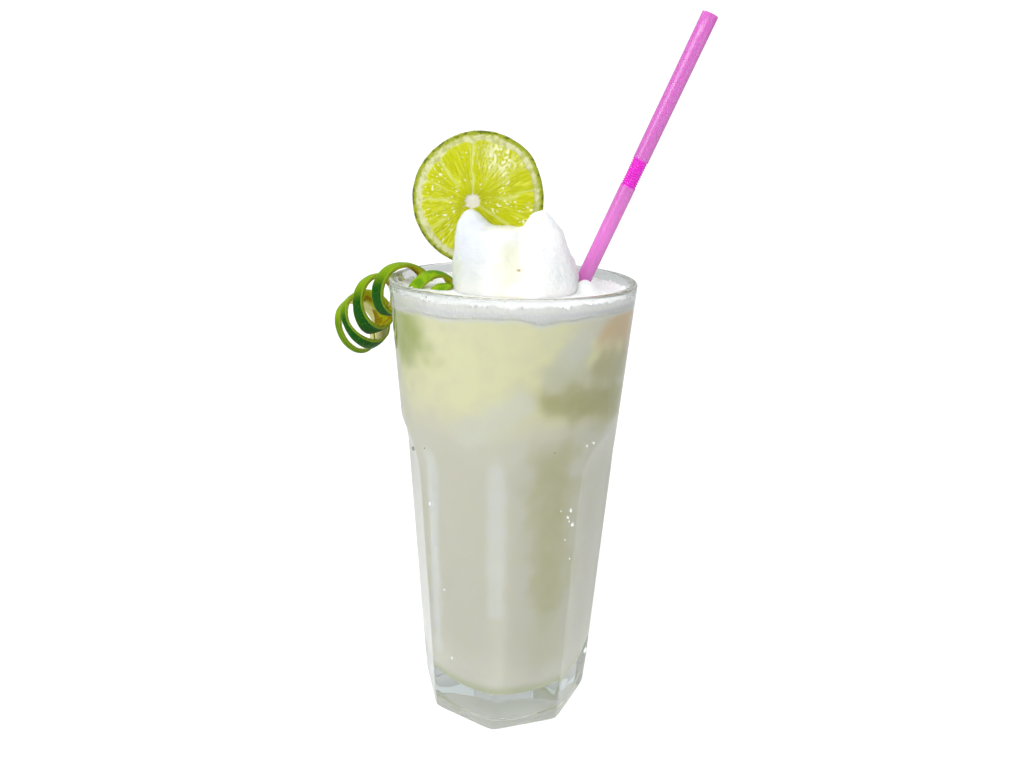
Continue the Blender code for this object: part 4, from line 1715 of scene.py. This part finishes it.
@dataclass
class LimePeel:
    """The strip of peel coiled over the rim, from the mound to its hanging end."""

    coils: tuple[Coil, ...] = (
        Coil(-19.8, -7.8, 159.5, 8.8, 41.0, -13.0),
        Coil(-25.3, -0.1, 165.6, 8.4, 47.0, -12.0),
        Coil(-32.2, 4.3, 166.7, 10.2, 53.0, -10.0),
        Coil(-45.3, 9.9, 167.9, 10.0, 52.0, 5.5),
        Coil(-54.9, 17.0, 160.8, 9.9, 57.5, 18.0),
        Coil(-59.9, 22.1, 152.6, 11.2, 56.5, 38.5),
        Coil(-63.8, 27.9, 149.3, 11.2, 51.0, 27.0),
        Coil(-72.3, 32.5, 140.9, 10.9, 45.5, 20.5),
    )
    turns: float = 5.75
    lead: float = 0.75
    widths: tuple[Pair, ...] = (
        (0.0, 5.6), (1.25, 5.6), (2.0, 6.2), (2.3, 5.6), (2.62, 8.4), (2.9, 6.0),
        (3.25, 4.9), (3.65, 11.4), (4.25, 3.0), (4.7, 9.8), (5.25, 3.0), (5.75, 2.6),
    )
    slides: tuple[Triple, ...] = ((2.64, 0.16, 2.2), (3.62, 0.24, 2.6), (4.65, 0.2, 1.0))
    thickness: float = 1.8
    crown: float = 0.35
    corner: float = 0.18
    pore_height: float = 0.05
    young_until: Pair = (1.5, 2.1)
    bruised_from: Pair = (1.2, 1.8)
    bruised_until: Pair = (4.2, 4.9)
    pale_from: Pair = (3.9, 4.6)
    lit_from: Pair = (4.3, 5.2)
    steps_per_turn: int = 110
    finish: ShavedPeel = ShavedPeel()

    def axis(self, turn: float) -> tuple[Array, float, float, float]:
        """The coil at one place, on a smooth curve through its rows.

        Args:
            turn: How many turns along the strip it is.

        Returns:
            Its centre, radius, facing and dip.
        """
        rows = [coil.row() for coil in self.coils]
        rows = [2.0 * rows[0] - rows[1]] + rows + [2.0 * rows[-1] - rows[-2]]
        place = turn + self.lead
        first = min(int(place), len(rows) - 4)
        t = place - first
        a, b, c, d = rows[first:first + 4]
        curve = 2.0 * b + (c - a) * t + (2.0 * a - 5.0 * b + 4.0 * c - d) * t ** 2
        curve = 0.5 * (curve + (3.0 * b - a - 3.0 * c + d) * t ** 3)
        return curve[:3], float(curve[3]), math.radians(curve[4]), math.radians(curve[5])

    def outline(self, half: float) -> list[Pair]:
        """The strip's cross-section, as pairs of place across and depth under the skin's crown.

        Args:
            half: Half the strip's width.

        Returns:
            The pairs, once round.
        """
        c = self.corner
        skin = [(s * (half - c), self.crown * s * s) for s in np.linspace(-1.0, 1.0, 13)]
        side = [(half - 0.3 * c, self.crown + 0.3 * c), (half, self.crown + c)]
        side += [(half - 0.05, 0.6 * self.thickness + 0.2), (half - 0.12, self.thickness - c)]
        shares = np.linspace(1.0, -1.0, 11)
        pith = [(s * (half - 0.35), self.thickness - 0.08 * (1.0 - s * s)) for s in shares]
        mirrored = [(-across, depth) for across, depth in reversed(side)]
        return skin + side + pith + mirrored

    def section(self, turn: float) -> tuple[Array, Array, Array]:
        """One cross-section of the strip.

        Args:
            turn: How many turns along the strip it is.

        Returns:
            Its points, their depths under the skin, and their places across from -1 to 1.
        """
        centre, radius, facing, dip = self.axis(turn)
        cos_dip = math.cos(dip)
        across = np.array([-math.sin(facing) * cos_dip, math.cos(facing) * cos_dip, -math.sin(dip)])
        up = np.array([0.0, 0.0, 1.0]) - across * across[2]
        up /= np.linalg.norm(up)
        near = np.cross(up, across)
        outward = up * math.cos(math.tau * turn) + near * math.sin(math.tau * turn)
        end = min(turn, self.turns - turn) * math.tau * radius
        taper = 0.45 + 0.55 * float(smoothstep(0.0, 4.0, end))
        ragged = 1.0 + 0.03 * noise.noise((turn * 9.0, 0.0, 3.0))
        ragged += 0.02 * noise.noise((turn * 31.0, 5.0, 3.0))
        half = 0.5 * float(np.interp(turn, *zip(*self.widths))) * taper * ragged
        pairs = np.array(self.outline(half))
        # The knife strayed to one side here and there, which moves the strip across
        slide = sum(shift * float(bell(turn - place, spread)) for place, spread, shift in self.slides)
        points = centre + outward * (radius - pairs[:, 1])[:, None] + across * (pairs[:, 0] + slide)[:, None]
        return points, pairs[:, 1], pairs[:, 0] / half

    def roughen(self, points: Array, depth: Array) -> Array:
        """The pores of the skin and the rough face of the pith.

        Args:
            points: Places on the strip.
            depth: Their depths under the skin.

        Returns:
            How far to raise each point.
        """
        inner = smoothstep(0.5, 1.1, depth)
        rough = 0.10 * waves(points, 1.1, 2.0) * inner
        rough += self.pore_height * waves(points, 2.2, 4.0) * (1.0 - inner)
        return rough - self.pore_height * (1.0 - bubble_domes(points, 1.0, 3.0)) * (1.0 - inner)

    def build(self) -> None:
        """Makes the strip from its first turn to its hanging end."""
        at = np.linspace(0.0, self.turns, int(self.turns * self.steps_per_turn) + 1)
        cuts = [self.section(float(turn)) for turn in at]
        count = len(cuts[0][0])
        points, depth, across = (np.concatenate(column) for column in zip(*cuts))
        turn = np.repeat(at, count)
        outward = points - np.repeat(np.array([self.axis(float(t))[0] for t in at]), count, axis=0)
        points = push(points, outward, self.roughen(points, depth))
        rings = split(points, count)
        ends = [rings[0].mean(axis=0)[None], rings[-1].mean(axis=0)[None]]
        piece = loft("lime_peel_coil", [ends[0]] + rings + [ends[1]])
        skin_depth = depth - self.crown * np.minimum(np.abs(across), 1.0) ** 2
        # Painted light on the top of each turn of the coil
        on_top = smoothstep(0.2, 0.95, np.cos((turn % 1.0) * math.tau - 0.1))
        layers = {
            "depth": np.maximum(skin_depth, 0.0) / self.thickness,
            "rim": smoothstep(0.78, 0.97, np.abs(across)) * 0.8,
            "lit": np.clip(on_top + 0.5 * smoothstep(*self.lit_from, turn), 0.0, 1.0),
            "young": np.clip(1.0 - smoothstep(*self.young_until, turn), 0.0, 1.0),
            "bruised": smoothstep(*self.bruised_from, turn) * (1.0 - smoothstep(*self.bruised_until, turn)),
            "pale": 0.8 * np.maximum(smoothstep(0.5, 0.95, across), smoothstep(*self.pale_from, turn)),
        }
        for name, values in layers.items():
            paint(piece, **{name: np.concatenate([values[:1], values, values[-1:]])})
        settle(piece, Slot.PEEL, self.finish.make(), "lime_peel")


@dataclass
class Straw:
    """The bendy straw: a thin tube with a short bellows, leaning to the right."""

    in_froth: Triple = (28.2, 10.0, 176.0)
    tip: Triple = (63.9, 2.0, 264.4)
    length: float = 220.0
    radius: float = 2.9
    wall: float = 0.4
    bellows_from_tip: float = 51.2
    pitch: float = 0.88
    folds: int = 11
    fold_depth: float = 0.35
    sides: int = 64
    rows_per_fold: int = 10
    finish: DyedStraw = DyedStraw()

    def profile(self) -> list[Triple]:
        """The wall's outline from the foot up the outside and down the inside.

        Returns:
            Rows of radius, height along the straw, and whether the wall is folded there.
        """
        top = self.length - self.bellows_from_tip
        base = top - self.folds * self.pitch
        steps = self.folds * self.rows_per_fold
        outside = [(self.radius, z, 0.0) for z in np.linspace(0.0, base - 0.6, 12)]
        for step in range(steps + 1):
            turn = math.tau * step / self.rows_per_fold
            dent = self.fold_depth * (0.5 - 0.5 * math.cos(turn)) ** 0.8
            outside.append((self.radius - dent, base + step * self.pitch / self.rows_per_fold, 1.0))
        outside += [(self.radius, z, 0.0) for z in np.linspace(top + 0.6, self.length - 0.12, 8)]
        lip = [(self.radius - 0.06, self.length - 0.03, 0.0), (self.radius - 0.2, self.length, 0.0)]
        lip += [(self.radius - self.wall + 0.06, self.length - 0.03, 0.0)]
        inside = [(radius - self.wall, z, folded) for radius, z, folded in reversed(outside)]
        return outside + lip + inside

    def build(self) -> None:
        """Makes the tube along its own axis and leans it to its place."""
        rows = self.profile()
        angles = np.linspace(0.0, math.tau, self.sides, endpoint=False)
        axis = (Vector(self.tip) - Vector(self.in_froth)).normalized()
        lean = Matrix.Translation(Vector(self.tip) - axis * self.length)
        lean = np.array(lean @ Vector((0.0, 0.0, 1.0)).rotation_difference(axis).to_matrix().to_4x4())
        rings = [ring(radius, angles, z) @ lean[:3, :3].T + lean[:3, 3] for radius, z, _ in rows]
        piece = loft("bendy_straw", rings, loop=True)
        paint(piece, folded=np.repeat([folded for _, _, folded in rows], self.sides))
        settle(piece, Slot.PLASTIC, self.finish.make(), "straw")


@dataclass(frozen=True)
class Drop:
    """One drop on the glass: its direction in degrees, its height and its size."""

    angle_deg: float
    height: float
    size: float


@dataclass
class Sprinkle:
    """The few drops of water, or specks of zest, that cling to the outside of the glass."""

    name: str
    glass: Glass
    finish: Finish
    drops: tuple[Drop, ...]
    squash: Triple = (0.8, 0.8, 1.15)

    def build(self) -> None:
        """Makes them, flattened against the glass and a little longer than wide."""
        half = self.glass.half_facet
        places = []
        for drop in self.drops:
            turn = math.radians(drop.angle_deg)
            off = (turn - self.glass.front_ridge_angle) % (2.0 * half) - half
            radius = float(self.glass.outside_radius(np.array([off]), drop.height)[0])
            places.append([radius * math.cos(turn), radius * math.sin(turn), drop.height])
        sizes = np.array([drop.size for drop in self.drops])
        squash = np.tile(self.squash, (len(places), 1))
        piece = scatter(self.name, np.array(places), sizes, squash, detail=3)
        settle(piece, Slot.GLASS, self.finish.make())


DEW = (
    Drop(-136.7, 95.3, 0.8), Drop(-135.3, 77.0, 0.35), Drop(-130.5, 59.3, 0.55), Drop(-127.0, 28.3, 0.8),
    Drop(-49.4, 121.5, 0.5), Drop(-44.8, 121.7, 0.5), Drop(-54.9, 96.7, 0.7), Drop(-56.2, 93.9, 0.55),
    Drop(-53.4, 90.8, 0.75), Drop(-55.2, 92.2, 0.35), Drop(-60.3, 96.9, 0.3), Drop(-56.5, 84.6, 0.4),
    Drop(-53.1, 76.3, 0.35), Drop(60.0, 88.0, 0.7), Drop(112.0, 70.0, 0.6), Drop(10.0, 60.0, 0.6),
)
SPECKS = (
    Drop(-136.3, 117.9, 0.26), Drop(-67.9, 121.4, 0.2), Drop(-164.0, 110.4, 0.45), Drop(-164.0, 109.6, 0.4),
    Drop(-127.9, 173.4, 0.26),
)


@dataclass(frozen=True)
class Softbox:
    """One soft white light: its place, what it aims at and its size in metres, and its power in watts."""

    name: str
    place: Triple
    aim: Triple
    size: Pair
    power: float

    def build(self) -> None:
        """Hangs the light."""
        light = bpy.data.lights.new(self.name, "AREA")
        light.shape = "RECTANGLE"
        light.size, light.size_y = self.size
        light.energy = self.power
        lamp = bring_in(self.name, light)
        lamp.location = self.place
        lamp.rotation_euler = (Vector(self.place) - Vector(self.aim)).to_track_quat("Z", "Y").to_euler()


@dataclass
class Studio:
    """The white sweep, the soft lights and the viewpoint."""

    camera_back: float = 264.03
    camera_height: float = 216.17
    yaw: float = 0.00197
    pitch: float = math.radians(17.369)
    roll: float = 0.02477
    focal_px: float = 715.5
    frame_width_px: float = 1024.0
    sensor: float = 36.0
    sweep_drop: float = 0.2
    sweep_half_width: float = 1600.0
    sweep_front: float = -1400.0
    sweep_back: float = 900.0
    sweep_rounding: float = 500.0
    sweep_height: float = 1500.0
    world_colour: str = "#E8EFF2"
    world_strength: float = 0.36
    seen_strength: float = 0.9
    sweep_finish: LightTable = LightTable()
    softboxes: tuple[Softbox, ...] = (
        Softbox("key", (-0.6, -0.5, 0.6), (0.0, 0.0, 0.12), (0.45, 0.6), 3.1),
        Softbox("fill", (0.62, -0.35, 0.3), (0.0, 0.0, 0.1), (0.25, 0.8), 0.6),
        Softbox("top", (0.0, 0.1, 0.95), (0.0, 0.0, 0.1), (0.7, 0.7), 1.9),
        Softbox("front", (-0.3, -0.92, 0.7), (0.0, 0.0, 0.1), (0.8, 0.5), 5.8),
        Softbox("backdrop", (0.0, 0.35, 1.2), (0.0, 1.2, 0.3), (1.6, 0.3), 6.0),
    )

    def roll_out_sweep(self) -> None:
        """Makes the floor that curves up into a backdrop, just under the glass's foot."""
        line = [(self.sweep_front, 0.0), (0.0, 0.0)]
        for turn in np.radians(np.linspace(0.0, 90.0, 24)):
            y = self.sweep_back + self.sweep_rounding * math.sin(turn)
            line.append((y, self.sweep_rounding * (1.0 - math.cos(turn))))
        line.append((self.sweep_back + self.sweep_rounding, self.sweep_height))
        sides = (-self.sweep_half_width, self.sweep_half_width)
        points = [(x, y, z - self.sweep_drop) for y, z in line for x in sides]
        faces = [(2 * k, 2 * k + 1, 2 * k + 3, 2 * k + 2) for k in range(len(line) - 1)]
        mesh = bpy.data.meshes.new("sweep")
        mesh.from_pydata((np.array(points) * MM).tolist(), [], faces)
        mesh.shade_smooth()
        mesh.materials.append(self.sweep_finish.make())
        sweep = bring_in("sweep", mesh)

    def light_world(self) -> None:
        """Fills the room with pale, faintly blue light."""
        world = bpy.data.worlds.new("studio")
        bpy.context.scene.world = world
        world.use_nodes = True
        tree = world.node_tree
        background = tree.nodes["Background"]
        background.inputs["Color"].default_value = linear(self.world_colour)
        # Brighter where it is seen through the glass than where it lights the drink
        seen = undimmed(tree, "Is Transmission Ray")
        strength = {"Value": seen, "To Min": self.world_strength, "To Max": self.seen_strength}
        strength = add_node(tree, "MapRange", strength)
        tree.links.new(strength.outputs["Result"], background.inputs["Strength"])

    def set_camera(self) -> None:
        """Puts the camera where the photograph was taken."""
        ahead = Vector((math.sin(self.yaw) * math.cos(self.pitch), math.cos(self.yaw) * math.cos(self.pitch),
                        -math.sin(self.pitch)))
        right = ahead.cross(Vector((0.0, 0.0, 1.0))).normalized()
        up = right.cross(ahead)
        rolled_right = right * math.cos(self.roll) + up * math.sin(self.roll)
        rolled_up = up * math.cos(self.roll) - right * math.sin(self.roll)
        matrix = Matrix((rolled_right, rolled_up, -ahead)).transposed().to_4x4()
        matrix.translation = Vector((0.0, -self.camera_back, self.camera_height)) * MM
        lens = bpy.data.cameras.new("camera")
        lens.sensor_width = self.sensor
        lens.lens = self.focal_px * self.sensor / self.frame_width_px
        lens.clip_start = 0.01
        camera = bring_in("camera", lens)
        camera.matrix_world = matrix
        bpy.context.scene.camera = camera

    def build(self) -> None:
        """Sets up the whole studio, with plain colour reproduction."""
        self.set_camera()
        self.roll_out_sweep()
        self.light_world()
        for softbox in self.softboxes:
            softbox.build()
        bpy.context.scene.view_settings.view_transform = "Standard"


def main() -> None:
    """Builds the drink from the glass inwards, then the studio."""
    logging.basicConfig(level=logging.INFO, format="%(name)s: %(message)s")
    glass = Glass()
    froth = Froth(glass)
    glass.build()
    Lemonade(glass, froth).build()
    froth.build()
    froth.blow_bubbles()
    for sub_assembly in (SlushMound(froth), LimeSlice(), LimePeel(), Straw()):
        sub_assembly.build()
    # The drops are partly opaque white: a painted highlight for their glints
    Sprinkle("dew_drops", glass, Water(name="water drops with painted glints", clear=0.35), DEW).build()
    Sprinkle("zest_specks", glass, Zest(), SPECKS).build()
    Studio().build()


if __name__ == "__main__":
    main()
